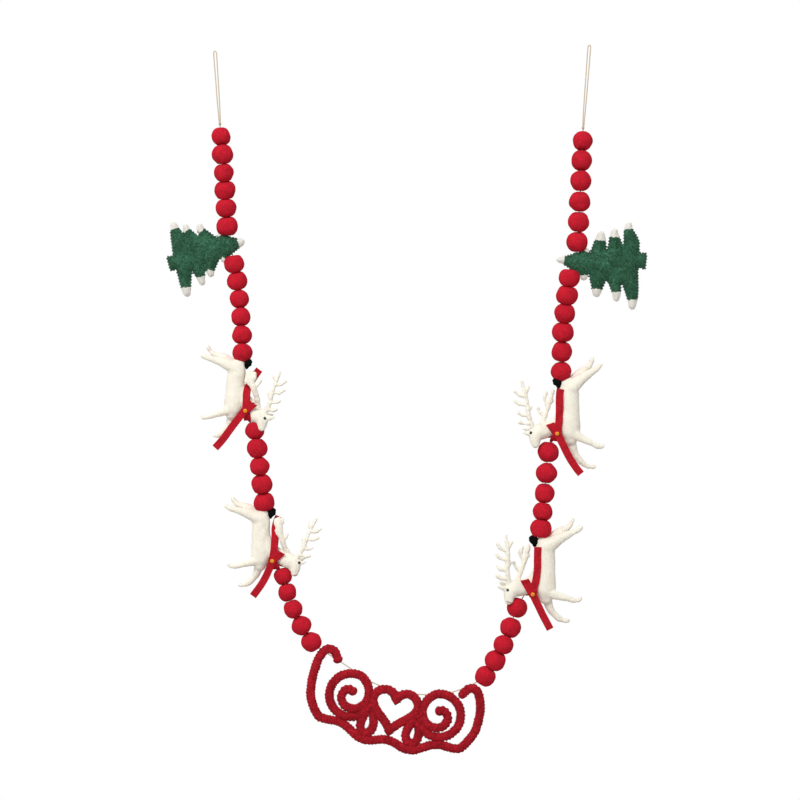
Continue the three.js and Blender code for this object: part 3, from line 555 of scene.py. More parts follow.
def finish_surface(tree, base, bump, roughness, sheen=0.0, specular=0.3, tint=(1, 1, 1, 1)):
    """Ends a material in its shader."""
    shader = add(tree, "ShaderNodeBsdfPrincipled", {
        "Base Color": base, "Normal": bump, "Roughness": roughness,
        "Specular IOR Level": specular, "Sheen Weight": sheen, "Sheen Roughness": 0.5, "Sheen Tint": tint})
    add(tree, "ShaderNodeOutputMaterial", {"Surface": shader.outputs["BSDF"]})


def wool_felt(name, rgb, nap, relief, mottle, pale=None):
    """Needle-felted wool, dyed in the fleece: matt, mottled where the fleece was thick or thin, with a soft
    nap. mottle is how strongly the tufts differ, and pale the undyed wool where the attribute tip says so."""
    material, tree = new_material(name)
    place = add(tree, "ShaderNodeTexCoord").outputs["Object"]
    # Clouds of fleece about 14 mm across.
    clouds = add(tree, "ShaderNodeTexNoise", {
        "Vector": place, "Scale": 70.0, "Detail": 3.0, "Roughness": 0.55})
    # Matted tufts about 2.4 mm across, twice as coarse as on the real felt, so that they show.
    tufts = add(tree, "ShaderNodeTexNoise", {
        "Vector": place, "Scale": 420.0, "Detail": 6.0, "Roughness": 0.78, "Distortion": 1.2})
    # Single fibres, drawn 0.4 mm wide on the needled skin.
    fibres = add(tree, "ShaderNodeTexNoise", {
        "Vector": place, "Scale": 2400.0, "Detail": 3.0, "Roughness": 0.6, "Distortion": 2.5})
    thick = add(tree, "ShaderNodeMapRange", {
        "Value": clouds.outputs["Fac"], "From Min": 0.34, "From Max": 0.66})
    dyed = add(tree, "ShaderNodeMix", {
        0: thick.outputs["Result"], 6: rgba(rgb, 0.98 - 0.2 * mottle), 7: rgba(rgb, 1.02 + 0.2 * mottle)},
        data_type="RGBA")
    shade = add(tree, "ShaderNodeMapRange", {
        "Value": tufts.outputs["Fac"], "From Min": 0.43, "From Max": 0.57,
        "To Min": 1 - 0.55 * mottle, "To Max": 1 + 0.55 * mottle})
    base = add(tree, "ShaderNodeVectorMath", {
        0: dyed.outputs[2], "Scale": shade.outputs["Result"]}, operation="SCALE").outputs["Vector"]
    if pale is not None:
        tip = add(tree, "ShaderNodeAttribute", attribute_name="tip")
        # the pale wool is needled on tuft by tuft, so its edge is ragged
        ragged = add(tree, "ShaderNodeMath", {
            0: tufts.outputs["Fac"], 1: 2.2, 2: tip.outputs["Fac"]}, operation="MULTIPLY_ADD")
        crisp = add(tree, "ShaderNodeMapRange", {
            "Value": ragged.outputs["Value"], "From Min": 1.54, "From Max": 1.66})
        undyed = add(tree, "ShaderNodeMix", {
            0: tufts.outputs["Fac"], 6: rgba(pale, 0.88), 7: rgba(pale, 1.1)}, data_type="RGBA")
        base = add(tree, "ShaderNodeMix", {
            0: crisp.outputs["Result"], 6: base, 7: undyed.outputs[2]}, data_type="RGBA").outputs[2]
    heights = add(tree, "ShaderNodeMath", {
        0: tufts.outputs["Fac"], 1: fibres.outputs["Fac"]}, operation="ADD")
    bump = add(tree, "ShaderNodeBump", {
        "Height": heights.outputs["Value"], "Strength": 0.7, "Distance": 1.2 * MM * relief})
    finish_surface(tree, base, bump.outputs["Normal"], roughness=0.95, sheen=0.2 * nap, specular=0.08,
                   tint=rgba(rgb, 1.6))
    return material


def cotton(name, rgb):
    """Spun cotton: dull, with the plies' shadows and stray fibres."""
    material, tree = new_material(name)
    place = add(tree, "ShaderNodeTexCoord").outputs["Object"]
    # Fibre bundles 0.5 mm long.
    fibres = add(tree, "ShaderNodeTexNoise", {
        "Vector": place, "Scale": 2000.0, "Detail": 4.0, "Roughness": 0.65})
    tint = add(tree, "ShaderNodeMapRange", {
        "Value": fibres.outputs["Fac"], "From Min": 0.3, "From Max": 0.7, "To Min": 0.78, "To Max": 1.08})
    base = add(tree, "ShaderNodeVectorMath", {0: rgb, "Scale": tint.outputs["Result"]}, operation="SCALE")
    bump = add(tree, "ShaderNodeBump", {
        "Height": fibres.outputs["Fac"], "Strength": 0.5, "Distance": 0.15 * MM})
    finish_surface(tree, base.outputs["Vector"], bump.outputs["Normal"], roughness=0.85, sheen=0.2,
                   specular=0.25)
    return material


def glass_bead(name):
    """A small black glass bead: smooth, with one crisp highlight."""
    material, tree = new_material(name)
    place = add(tree, "ShaderNodeTexCoord").outputs["Object"]
    # Faint ripples 1 mm apart from the melt.
    ripple = add(tree, "ShaderNodeTexNoise", {"Vector": place, "Scale": 1000.0})
    bump = add(tree, "ShaderNodeBump", {
        "Height": ripple.outputs["Fac"], "Strength": 0.1, "Distance": 0.05 * MM})
    tone = add(tree, "ShaderNodeMix", {
        0: ripple.outputs["Fac"], 6: (0.004, 0.004, 0.005, 1), 7: (0.012, 0.011, 0.011, 1)}, data_type="RGBA")
    finish_surface(tree, tone.outputs[2], bump.outputs["Normal"], roughness=0.18, specular=0.5)
    return material


def finishes():
    """The garland's materials, made once."""
    wool = bpy.context.scene.garland_wool
    makers = {
        "red_wool_felt": lambda name: wool_felt(name, wool.red, nap=0.5, relief=0.6, mottle=0.28),
        "scarf_sheet_felt": lambda name: wool_felt(name, wool.scarf, nap=0.4, relief=0.6, mottle=0.34),
        "dark_red_wool_felt": lambda name: wool_felt(name, wool.dark_red, nap=0.5, relief=1.3, mottle=0.66),
        "green_wool_felt": lambda name: wool_felt(
            name, wool.green, nap=0.6, relief=1.5, mottle=1.0, pale=wool.pale),
        "cream_wool_felt": lambda name: wool_felt(name, wool.cream, nap=1.4, relief=0.8, mottle=0.08),
        "black_wool_felt": lambda name: wool_felt(name, wool.black, nap=0.4, relief=0.8, mottle=0.4),
        "cotton_twine": lambda name: cotton(name, wool.twine),
        "yellow_stranded_thread": lambda name: cotton(name, wool.yellow),
        "green_stranded_thread": lambda name: cotton(name, [0.62 * c for c in wool.green]),
        "brown_stranded_thread": lambda name: cotton(name, linear("#8E5A4C")),
        "black_glass_bead": glass_bead,
    }
    return {name: bpy.data.materials.get(name) or make(name) for name, make in makers.items()}


# ---- the balls' places ----

def node_points(name):
    """A CAD node's own corners, each once."""
    found = {tuple(round(c, 7) for c in v.co) for v in NODES[name].data.vertices}
    return [Vector(p) for p in sorted(found)]


def ball_places():
    """Each ball's node, centre, axis along the twine, radius and half height, run by run."""
    places = {}
    for run, count in RUN_COUNTS.items():
        names = [f"ball_{run}_{i + 1}" for i in range(count)]
        corners = [node_points(name) for name in names]
        centres = [sum(points, Vector()) / len(points) for points in corners]
        rows = []
        for i, name in enumerate(names):
            axis = (centres[max(i - 1, 0)] - centres[min(i + 1, count - 1)]).normalized()
            off = [p - centres[i] for p in corners[i]]
            heights = [p.dot(axis) for p in off]
            radius = max((p - axis * p.dot(axis)).length for p in off)
            rows.append((name, centres[i], axis, radius, (max(heights) - min(heights)) / 2))
        places[run] = rows
    return places


BALLS = ball_places()
ALL_BALLS = [row for rows in BALLS.values() for row in rows]


def press(bm, kind):
    """Dents a soft piece where a ball presses into it, leaving a gap between them."""
    gap = FELTED[kind]["gap"] * MM
    low = [min(v.co[k] for v in bm.verts) for k in range(3)]
    high = [max(v.co[k] for v in bm.verts) for k in range(3)]
    for _, centre, axis, radius, half in ALL_BALLS:
        if any(not low[k] - radius < centre[k] < high[k] + radius for k in (0, 2)):
            continue
        for v in bm.verts:
            off = v.co - centre
            if off.length > radius + gap:
                continue
            height = off.dot(axis)
            out = (off - axis * height).length
            size = ((out / (radius + gap)) ** SQUARENESS
                    + (abs(height) / (half + gap)) ** SQUARENESS) ** (1 / SQUARENESS)
            if 0.02 < size < 1:
                v.co = centre + off / size


# ---- twine ----

def loop_line(loop):
    """A long narrow loop that starts and ends in its knot, in metres."""
    knot = at(loop["knot"])
    up = at(loop["top"]) + Vector((0, 0, sizes().twine / 2)) - knot
    side = Vector((up.z, 0, -up.x)).normalized()
    half, rise, lift = loop["eye"] / 2 * MM, up.length, up.normalized()
    left = [(-wide * half, share * rise) for share, wide in LOOP_LEG]
    right = [(-out, height) for out, height in reversed(left)]
    crown = [(-0.7 * half, rise - 0.3 * half), (0, rise), (0.7 * half, rise - 0.3 * half)]
    return [knot + side * out + lift * height for out, height in left + crown + right]


def twisted(bm, points, thick):
    """Three-ply twine along points, whose plies stand out from its section and turn along it."""
    travelled = [0]
    for before, after in zip(points, points[1:]):
        travelled.append(travelled[-1] + (after - before).length)

    def offset(i, tangent, angle):
        turn = math.tau * travelled[i] / (PLY_TURN * MM)
        radius = thick / 2 * (0.9 + 0.1 * math.cos(3 * (angle - turn)))
        return radius * off_line(tangent, FRONT.cross(tangent).normalized(), angle)

    capped_sleeve(bm, points, 12, offset)


def overhand_knot(bm, centre, thick):
    """A small tight knot: the twine turned twice over itself."""
    count = 32
    points = []
    for k in range(count):
        t = math.tau * k / count
        points.append(centre + Vector((
            (1.35 * math.sin(t) + 0.35 * math.sin(2 * t)) * thick / 2,
            1.3 * math.cos(3 * t) * thick / 2,
            (1.5 * math.cos(t) - 0.5 * math.cos(2 * t)) * thick / 2)))

    def place(ring, angle):
        tangent = along(points, ring, True)
        return points[ring] + thick * 0.44 * off_line(tangent, tangent.orthogonal().normalized(), angle)

    sleeve(bm, count, 8, place, closed=True)


def deer_matrix(deer, turned=True):
    """From a reindeer's own frame in millimetres to the garland's in metres."""
    turn = -math.radians(deer["turn"]) if turned else 0
    return (Matrix.Translation(at(deer["knot"])) @ Matrix.Diagonal((deer["side"], 1, 1, 1))
            @ Matrix.Rotation(turn, 4, "Y") @ Matrix.Scale(deer["size"] * MM, 4))


def scroll_place(x, z, y=0):
    lean = math.radians(SCROLL["lean"])
    return Vector((
        SCROLL["centre"][0] + x * math.cos(lean) - z * math.sin(lean), y,
        SCROLL["centre"][1] + x * math.sin(lean) + z * math.cos(lean))) * MM


def twine_route():
    """The twine from knot to knot: through the balls, the reindeer and behind the scroll's upper edge."""
    bends = {deer["name"]: deer_matrix(deer) @ Vector(TWINE_BEND) for deer in DEER}
    run = {name: [row[1] for row in rows] for name, rows in BALLS.items()}
    shares = (-0.72, -0.36, 0, 0.36, 0.72)
    low = [scroll_place(s * SCROLL["half_width"], SCROLL_TWINE["low"] + SCROLL_TWINE["rise"] * s * s)
           for s in shares]
    knots = [at(loop["knot"]) for loop in LOOPS]
    return [
        knots[0], *run["left_top"], *run["left_upper"], bends["left_upper"], *run["left_middle"],
        bends["left_lower"], *run["left_lower"], *low, *reversed(run["right_lower"]),
        bends["right_lower"], *reversed(run["right_middle"]), bends["right_upper"],
        *reversed(run["right_upper"]), *reversed(run["right_top"]), knots[1]]


def as_points(rows, spacing):
    return [Vector(row[:3]) for row in smooth_line([tuple(p) for p in rows], spacing)]


class GARLAND_OT_loops(bpy.types.Operator):
    """Makes the two hanging loops of cotton twine"""
    bl_idname = "garland.loops"
    bl_label = "Hanging loops"

    def execute(self, context):
        thick = sizes().twine
        for loop in LOOPS:
            points = as_points(loop_line(loop), 0.8 * MM)
            bm = bmesh.new()
            twisted(bm, points, thick)
            cord = make_piece(f"hanging_loop_{loop['name']}", bm, finishes()["cotton_twine"])
            round(line_length(points), 3)
        return {"FINISHED"}


class GARLAND_OT_twine(bpy.types.Operator):
    """Threads the twine through the pieces and ties its knots"""
    bl_idname = "garland.twine"
    bl_label = "Twine"

    def execute(self, context):
        thick = sizes().twine
        bm = bmesh.new()
        twisted(bm, as_points(twine_route(), 1.2 * MM), thick)
        twine = make_piece("threaded_twine", bm, finishes()["cotton_twine"])
        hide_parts("twine")
        bm = bmesh.new()
        for loop in LOOPS:
            overhand_knot(bm, at(loop["knot"]), thick)
        make_piece("twine_knots", bm, finishes()["cotton_twine"])
        return {"FINISHED"}


# ---- balls ----

def pressed_faces(i):
    """The faces on which a ball is pressed, as normals and distances from its centre. Two balls never meet
    quite square: the face that they share slants to the front or to the back."""
    _, centre, axis, _, half = ALL_BALLS[i]
    faces = [(axis, half), (-axis, half)]
    for j, (_, other, _, _, other_half) in enumerate(ALL_BALLS):
        off = other - centre
        if j == i or off.length > half + other_half + BALL["touch"] * MM:
            continue
        lot = random.Random(min(i, j))
        slant = math.tan(math.radians(lot.uniform(*BALL["slant"]))) * lot.choice((-1, 1))
        towards = off.normalized()
        normal = (towards + FRONT * slant * (1 if j > i else -1)).normalized()
        middle = (off.length + half - other_half) / 2 - BALL["sink"] * MM
        faces = [face for face in faces if face[0].dot(towards) < 0.5]
        faces.append((normal, middle * normal.dot(towards)))
    return faces


def rolled_ball(bm, i, height):
    """A ball of rolled wool: never quite round, flat where it is pressed, dimpled where the twine goes in."""
    _, centre, axis, radius, _ = ALL_BALLS[i]
    shift = Vector((i * 3.7, i * 1.9, i * 5.3))
    faces = pressed_faces(i)
    soft = BALL["rim"] * MM
    for v in bmesh.ops.create_icosphere(bm, subdivisions=4, radius=1)["verts"]:
        d = v.co.normalized()
        uneven = sum(high * noise.noise(d * close + shift) for high, close in BALL_LUMPS)
        off = d * (radius + min(uneven, 1) * height)
        for normal, reach in faces:
            over = off.dot(normal) - (reach - soft)
            if over > 0:
                off -= normal * (over - soft * math.tanh(over / soft))
        near_hole = max(0, (abs(d.dot(axis)) - (1 - DIMPLE["wide"])) / DIMPLE["wide"])
        v.co = centre + off * (1 - DIMPLE["deep"] * near_hole ** 2)


class GARLAND_OT_balls(bpy.types.Operator):
    """Rolls the wool-felt balls, each in its own place on the twine"""
    bl_idname = "garland.balls"
    bl_label = "Felt balls"

    def execute(self, context):
        for i, row in enumerate(ALL_BALLS):
            bm = bmesh.new()
            rolled_ball(bm, i, sizes().lumps)
            ball = make_piece(row[0].replace("ball", "wool_ball"), bm, finishes()["red_wool_felt"])
            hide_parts(row[0])
        return {"FINISHED"}


# ---- fir trees ----

def tree_matrix(tree):
    size = tree["size"] * MM
    return (Matrix.Translation(at(tree["tip"])) @ Matrix.Diagonal((tree["side"] * size, size, size, 1))
            @ Matrix.Rotation(math.radians(tree["lean"]), 4, "Y"))


def tree_seam(tree):
    """The seam round a tree in its own frame, from the tip over the upper branches and back below."""
    start = [(0, 0.6), (3.5, 0.68 * tree["nose"]), (10, tree["nose"])]
    sides = {"up": start[:], "down": start[:]}
    for which, rows in sides.items():
        for tier, notch in zip(TIERS[tree["name"]], NOTCHES[tree["name"]]):
            reach, out = tier[which]
            for step, share in ((-1, 0.8), (-0.55, 0.97), (0.45, 1), (1, 0.84)):
                rows.append((reach + step * tier["half"], out * share))
            rows.append(notch[which])
        half = TRUNK["half"] + (tree["shift"] if which == "up" else -tree["shift"])
        rows += [(TRUNK["from"], half), (TRUNK["to"] - 2, half), (TRUNK["to"], half * 0.8)]
    rows = [(x, 0, z) for x, z in sides["up"] + [(x, -z) for x, z in reversed(sides["down"])]]
    fine = smooth_line(rows + rows[:1], 0.7)[:-1]
    for _ in range(5):
        fine = [tuple((a + 2 * b + c) / 4 for a, b, c in zip(fine[i - 1], fine[i], fine[(i + 1) % len(fine)]))
                for i in range(len(fine))]
    matrix = tree_matrix(tree)
    return [matrix @ Vector(row) for row in fine]


def tree_tips(tree):
    """The end, the outward direction and the length of every pale tip."""
    matrix = tree_matrix(tree)
    tips = [((0, 0), (-1, 0), TOP_TIP)]
    notches = NOTCHES[tree["name"]]
    for i, tier in enumerate(TIERS[tree["name"]]):
        for k, (which, sign) in enumerate((("up", 1), ("down", -1))):
            reach, out = tier[which]
            before = notches[i - 1][which] if i else FIRST_NOTCH
            after = notches[i][which]
            lean = (reach - (before[0] + after[0]) / 2, out - (before[1] + after[1]) / 2)
            long = math.hypot(*lean)
            away = (lean[0] / long, sign * (lean[1] / long + tree["square"]))
            tips.append(((reach, sign * out), away, tier["tips"][k]))
    return [(matrix @ Vector((end[0], 0, end[1])),
             (matrix.to_3x3() @ Vector((out[0], 0, out[1]))).normalized(), length * tree["size"] * MM)
            for end, out, length in tips]


def puffed(bm, seam, tips, depth):
    """Stuffs the flat sheets, deepest away from the seam, and marks the pale tips."""
    mark = bm.verts.layers.float.new("tip")
    seam_half = SEAM["half"] * MM
    thin = max(abs(v.co.y) for v in bm.verts)
    edge = KDTree(len(seam))
    for i, p in enumerate(seam):
        edge.insert((p.x, 0, p.z), i)
    edge.balance()
    for v in bm.verts:
        flat = Vector((v.co.x, 0, v.co.z))
        share = min(edge.find(flat)[2] / (SEAM["deepest"] * MM), 1)
        # the stuffing lies unevenly
        broad, fine = noise.noise(flat / (19 * MM)), noise.noise(flat / (7 * MM))
        wander = 1 + share * (0.3 * broad + 0.14 * fine - 0.04)
        full = (seam_half + (depth / 2 - seam_half) * math.sin(share * math.pi / 2) ** 0.75) * wander
        v.co.y = max(-1, min(1, v.co.y / (0.8 * thin))) * full
        waver = TIP_EDGE["waver"] * MM * noise.noise(flat / (TIP_EDGE["spread"] * MM))
        for end, out, length in tips:
            off = flat - end
            reach = off.dot(out)
            wide = (off - out * reach).length
            widest = min(TIP_EDGE["widest"] * MM, 2.5 * MM + 0.6 * length)
            if wide < widest and -length - 3 * MM < reach < 3 * MM:
                inside = (reach + length + waver) / (TIP_EDGE["fade"] * MM) + 0.5
                v[mark] = max(v[mark], min(1, max(0, inside)))


def stuffed_tree(tree):
    """A tree of two felt sheets, whipped together round the edge and stuffed."""
    name = tree["name"]
    seam = tree_seam(tree)
    tips = tree_tips(tree)
    travelled, whipped = 0, []
    for i, p in enumerate(seam):
        out = (seam[(i + 1) % len(seam)] - seam[i - 1]).normalized().cross(Vector((0, 1, 0)))
        travelled += (p - seam[i - 1]).length if i else 0
        # drawn in where each stitch goes round, so that the edge stands out in lobes between them
        lobe = abs(math.cos(math.pi * travelled / sizes().stitch)) - 0.6
        # the felted tips aren't stitched
        bare = any((p - end).length < length + 1.5 * MM for end, _, length in tips)
        whipped.append(p + out * tree["side"] * SEAM["bare_lobe" if bare else "lobe"] * MM * lobe)
    bm = bmesh.new()
    face = bm.faces.new([bm.verts.new(p + Vector((0, -2.5 * MM, 0))) for p in whipped])
    made = bmesh.ops.extrude_face_region(bm, geom=[face])["geom"]
    bmesh.ops.translate(bm, verts=[g for g in made if isinstance(g, bmesh.types.BMVert)], vec=(0, 5 * MM, 0))
    bmesh.ops.triangulate(bm, faces=bm.faces[:])
    piece = felted(make_piece(f"stuffed_fir_tree_{name}", bm, finishes()["green_wool_felt"]), "tree")

    def change(bm):
        puffed(bm, seam, tips, sizes().tree_depth)
        relax(bm, 3, outline=False)
        lump(bm, "tree", TREES.index(tree))
        press(bm, "tree")

    reshape(piece, change)
    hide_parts(f"fir_tree_{name}")
    return seam


def strewn(name, prototype, places, finish):
    """One mesh of many copies of a small mesh, one for each matrix in places, by Geometry Nodes."""
    spots = bpy.data.meshes.new(name)
    spots.vertices.add(len(places))
    spots.vertices.foreach_set("co", [c for m in places for c in m.translation])
    turns = spots.attributes.new("turn", "QUATERNION", "POINT")
    turns.data.foreach_set("value", [c for m in places for c in m.to_quaternion()])
    scales = spots.attributes.new("size", "FLOAT_VECTOR", "POINT")
    scales.data.foreach_set("vector", [c for m in places for c in m.to_scale()])
    piece = linked(name, spots)
    model = linked(name + "_one", prototype)
    tree = bpy.data.node_groups.new(name, "GeometryNodeTree")
    for way in ("INPUT", "OUTPUT"):
        tree.interface.new_socket("Geometry", in_out=way, socket_type="NodeSocketGeometry")
    given = add(tree, "NodeGroupInput")
    one = add(tree, "GeometryNodeObjectInfo", {"Object": model})
    turn = add(tree, "GeometryNodeInputNamedAttribute", {"Name": "turn"}, data_type="QUATERNION")
    size = add(tree, "GeometryNodeInputNamedAttribute", {"Name": "size"}, data_type="FLOAT_VECTOR")
    copies = add(tree, "GeometryNodeInstanceOnPoints", {
        "Points": given.outputs["Geometry"], "Instance": one.outputs["Geometry"],
        "Rotation": turn.outputs["Attribute"], "Scale": size.outputs["Attribute"]})
    real = add(tree, "GeometryNodeRealizeInstances", {"Geometry": copies.outputs["Instances"]})
    add(tree, "NodeGroupOutput", {"Geometry": real.outputs["Geometry"]})
    piece.modifiers.new("strewing", "NODES").node_group = tree
    settle(piece)
    bpy.data.objects.remove(model)
    bpy.data.node_groups.remove(tree)
    dress(piece, finish)
    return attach(piece, "root")


def thread_mesh(name, rows, sides):
    """A short stitch of thread along rows of places in millimetres, as a mesh to be strewn."""
    bm = bmesh.new()
    radius = THREAD[name] * MM
    points = [Vector(row) for row in smooth_line([tuple(c * MM for c in row) for row in rows], radius * 1.6)]

    def offset(_, tangent, angle):
        return radius * off_line(tangent, tangent.cross(Vector((0.3, 0.1, 1))).normalized(), angle)

    capped_sleeve(bm, points, sides, offset)
    return mesh_from(name, bm)


def stitch_places(line, spacing, outward):
    """Places round a closed line, each between two lobes, with y to the back and z out of the line."""
    places = []
    travelled, due = 0, spacing / 2
    for i, a in enumerate(line):
        b = line[(i + 1) % len(line)]
        step = (b - a).length
        tangent = (b - a).normalized() * outward
        while due <= travelled + step:
            turn = Matrix((tangent, Vector((0, 1, 0)), tangent.cross(Vector((0, 1, 0))))).transposed()
            places.append(Matrix.Translation(a.lerp(b, (due - travelled) / step)) @ turn.to_4x4())
            due += spacing
        travelled += step
    return places


class GARLAND_OT_trees(bpy.types.Operator):
    """Sews and stuffs the two fir trees and whips their edges"""
    bl_idname = "garland.trees"
    bl_label = "Fir trees"

    def execute(self, context):
        rows = [(1, -4.6, -3.2), (0.6, -3.4, -2.1), (0.1, -1.7, -1.5), (0, 0, -1.3), (-0.1, 1.7, -1.5),
                (-0.6, 3.4, -2.1), (-1, 4.6, -3.2)]
        stitch = thread_mesh("whip_stitch", rows, 5)
        for tree in TREES:
            seam = stuffed_tree(tree)
            tips = tree_tips(tree)
            clear = SEAM["stitched_from"] * MM
            places = stitch_places(seam, sizes().stitch, tree["side"])
            places = [m for m in places if all(
                (m.translation - end).dot(out) < -length - 0.6 * MM or (m.translation - end).length > clear
                for end, out, length in tips)
                and all((m.translation - ball[1]).length > ball[3] + 0.8 * MM for ball in ALL_BALLS)]
            stitches = strewn(
                f"whip_stitches_{tree['name']}", stitch, places, finishes()["green_stranded_thread"])
        bpy.data.meshes.remove(stitch)
        return {"FINISHED"}


# ---- reindeer ----

def turned(rows, pivot=(0, 0), degrees=0, shift=(0, 0)):
    """A limb's rows turned about a joint and shifted, in the garland's plane."""
    c, s = math.cos(math.radians(degrees)), math.sin(math.radians(degrees))
    return [(pivot[0] + (x - pivot[0]) * c - (z - pivot[1]) * s + shift[0], y,
             pivot[1] + (x - pivot[0]) * s + (z - pivot[1]) * c + shift[1], r) for x, y, z, r in rows]


def deer_limbs(deer):
    """Each limb as rows, sides and depth."""
    body, head = deer["body_shift"], deer["head_shift"]
    throat = [(a + b) / 2 for a, b in zip(body, head)]
    on_head = lambda rows: turned(rows, NECK_PIVOT, deer["head_turn"], head)
    neck = [*turned(NECK[:-1], shift=body), *turned(NECK[-1:], shift=throat), *on_head(HEAD)]
    limbs = [(turned(BODY, shift=body), 24, 0.88), (neck, 24, 0.92)]
    for rows in (NEAR_HIND, FAR_HIND):
        limbs.append((turned(rows, HIP, deer["hind_turn"], body), 16, 0.9))
    near, far = deer["fore_turn"]
    x0, z0 = SHOULDER
    stretched = [(x0 + (x - x0) * deer["far_stretch"], y, z0 + (z - z0) * deer["far_stretch"], r)
                 for x, y, z, r in FAR_FORE]
    limbs.append((turned(NEAR_FORE, SHOULDER, near, body), 16, 0.9))
    limbs.append((turned(stretched, SHOULDER, far, body), 16, 0.9))
    limbs += [(on_head(rows), 12, 0.6) for rows in EARS]
    near, far = deer["antler_turn"]
    limbs += [(on_head(turned(rows, ANTLER_BASE, near)), 10, 1) for rows in NEAR_ANTLER]
    if deer["name"] in BENT_ANTLERS:
        limbs += [(rows, 12, 1) for rows in BENT_ANTLERS[deer["name"]]]
    else:
        limbs += [(on_head(turned(rows, ANTLER_BASE, far)), 10, 1) for rows in FAR_ANTLER]
    return limbs


def on_surface(bvh, deer, x, z, front=True):
    """The skin's place and normal at a spot counted from the knot, seen from the front or from behind."""
    side = 1 if front else -1
    start = Vector((deer["knot"][0] + deer["side"] * x, -60 * side, deer["knot"][1] + z)) * MM
    return bvh.ray_cast(start, Vector((0, side, 0)))[:2]


def felted_deer(deer):
    name = deer["name"]
    bm = bmesh.new()
    for rows, sides, depth in deer_limbs(deer):
        line = [Vector(row) for row in smooth_line(rows, 2)]
        # the wool is wound on unevenly, which shows where a limb is thin
        knobbly = []
        for row in line:
            thin = min(max(2 - row[3] / 3, 0), 1)
            uneven = WOUND["uneven"] * thin * noise.noise(row.xyz / WOUND["spread"])
            knobbly.append(max(row[3] + uneven, WOUND["thinnest"]))
        oval_sleeve(bm, [row.xyz for row in line], knobbly, sides, depth)
    bm.transform(deer_matrix(deer))
    piece = felted(make_piece(f"felted_reindeer_{name}", bm, finishes()["cream_wool_felt"]), "reindeer")

    def change(bm):
        relax(bm, 4)
        lump(bm, "reindeer", DEER.index(deer))
        press(bm, "reindeer")

    reshape(piece, change)
    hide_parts(f"reindeer_{name}")
    return piece


def felted_tail(deer):
    name = deer["name"]
    bm = bmesh.new()
    bm.from_mesh(NODES[f"tail_{name}"].data)
    weld(bm, bm.verts)
    middle = sum((v.co for v in bm.verts), Vector()) / len(bm.verts)
    # relaxing draws the tuft in, so it starts larger
    for v in bm.verts:
        v.co = middle + (v.co - middle) * 1.12
    piece = felted(make_piece(f"felted_tail_{name}", bm, finishes()["black_wool_felt"]), "tail")

    def change(bm):
        relax(bm, 5)
        lump(bm, "tail", DEER.index(deer))

    reshape(piece, change)
    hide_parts(f"tail_{name}")


def bead_mesh():
    """A round bead with a dimple where its thread goes in, turned about its own z axis."""
    bm = bmesh.new()
    profile = [(0, 0.72), (0.18, 0.74), (0.42, 0.86), (0.72, 0.66), (0.97, 0.25), (1, -0.1), (0.8, -0.55),
               (0, -0.8)]

    def place(ring, angle):
        out, height = profile[ring]
        return Vector((out * math.cos(angle), out * math.sin(angle), height))

    sleeve(bm, len(profile), 16, place)
    return mesh_from("bead", bm)


def facing(point, normal, size):
    """A place at point whose z axis looks along normal."""
    turn = normal.to_track_quat("Z", "Y").to_matrix().to_4x4()
    return Matrix.Translation(point) @ turn @ Matrix.Scale(size, 4)


class GARLAND_OT_reindeer(bpy.types.Operator):
    """Felts the four reindeer with their tails, eyes and mouths"""
    bl_idname = "garland.reindeer"
    bl_label = "Reindeer"

    def execute(self, context):
        eyes = []
        mouths = bmesh.new()
        for deer in DEER:
            piece = felted_deer(deer)
            felted_tail(deer)
            bvh = BVHTree.FromObject(piece, context.evaluated_depsgraph_get())
            for front in (True, False):
                point, normal = on_surface(bvh, deer, *deer["eye"], front)
                if point:
                    eyes.append(facing(point, normal, EYE * MM))
            (x0, z0), (x1, z1) = deer["mouth"]
            hits = [on_surface(bvh, deer, x0 + (x1 - x0) * k / 8, z0 + (z1 - z0) * k / 8)[0]
                    for k in range(9)]
            line = [p + FRONT * 0.1 * MM for p in hits if p]
            if len(line) > 3:
                oval_sleeve(mouths, line, [THREAD["mouth"] * MM] * len(line), 8)
        beads = bead_mesh()
        strewn("reindeer_eyes", beads, eyes, finishes()["black_glass_bead"])
        bpy.data.meshes.remove(beads)
        make_piece("reindeer_mouths", mouths, finishes()["brown_stranded_thread"])
        return {"FINISHED"}


# ---- scarves ----

def laid_strip(bm, rows, width, under, lift, notch=0, slant=0):
    """A strip of felt along rows in metres that lies on what is close under it."""
    line = [Vector(row) for row in smooth_line(rows, 1.5 * MM)]
    last = len(line) - 1
    made = grid(bm, 6, last)
    for v, _, ring in made:
        share = v.co.x
        tangent = along(line, ring)
        across = tangent.cross(FRONT).normalized()
        point = line[ring] + across * share * width / 2
        # the cut end: notched in its middle, or slanted
        near_end = max(0, 1 - (last - ring) / 3)
        point -= tangent * near_end * (notch * (1 - abs(share)) + slant * share * width / 2)
        hit = under.ray_cast(point + FRONT * 60 * MM, -FRONT)[0]
        hanging = line[ring].y - lift + 1.0 * MM
        lying = hit.y - lift if hit else hanging
        near = -STRIP_REACH[0] * MM < lying - hanging < STRIP_REACH[1] * MM
        point.y = lying if near else hanging
        v.co = point
    relax(bm, 6, [v for v, _, _ in made], outline=False)


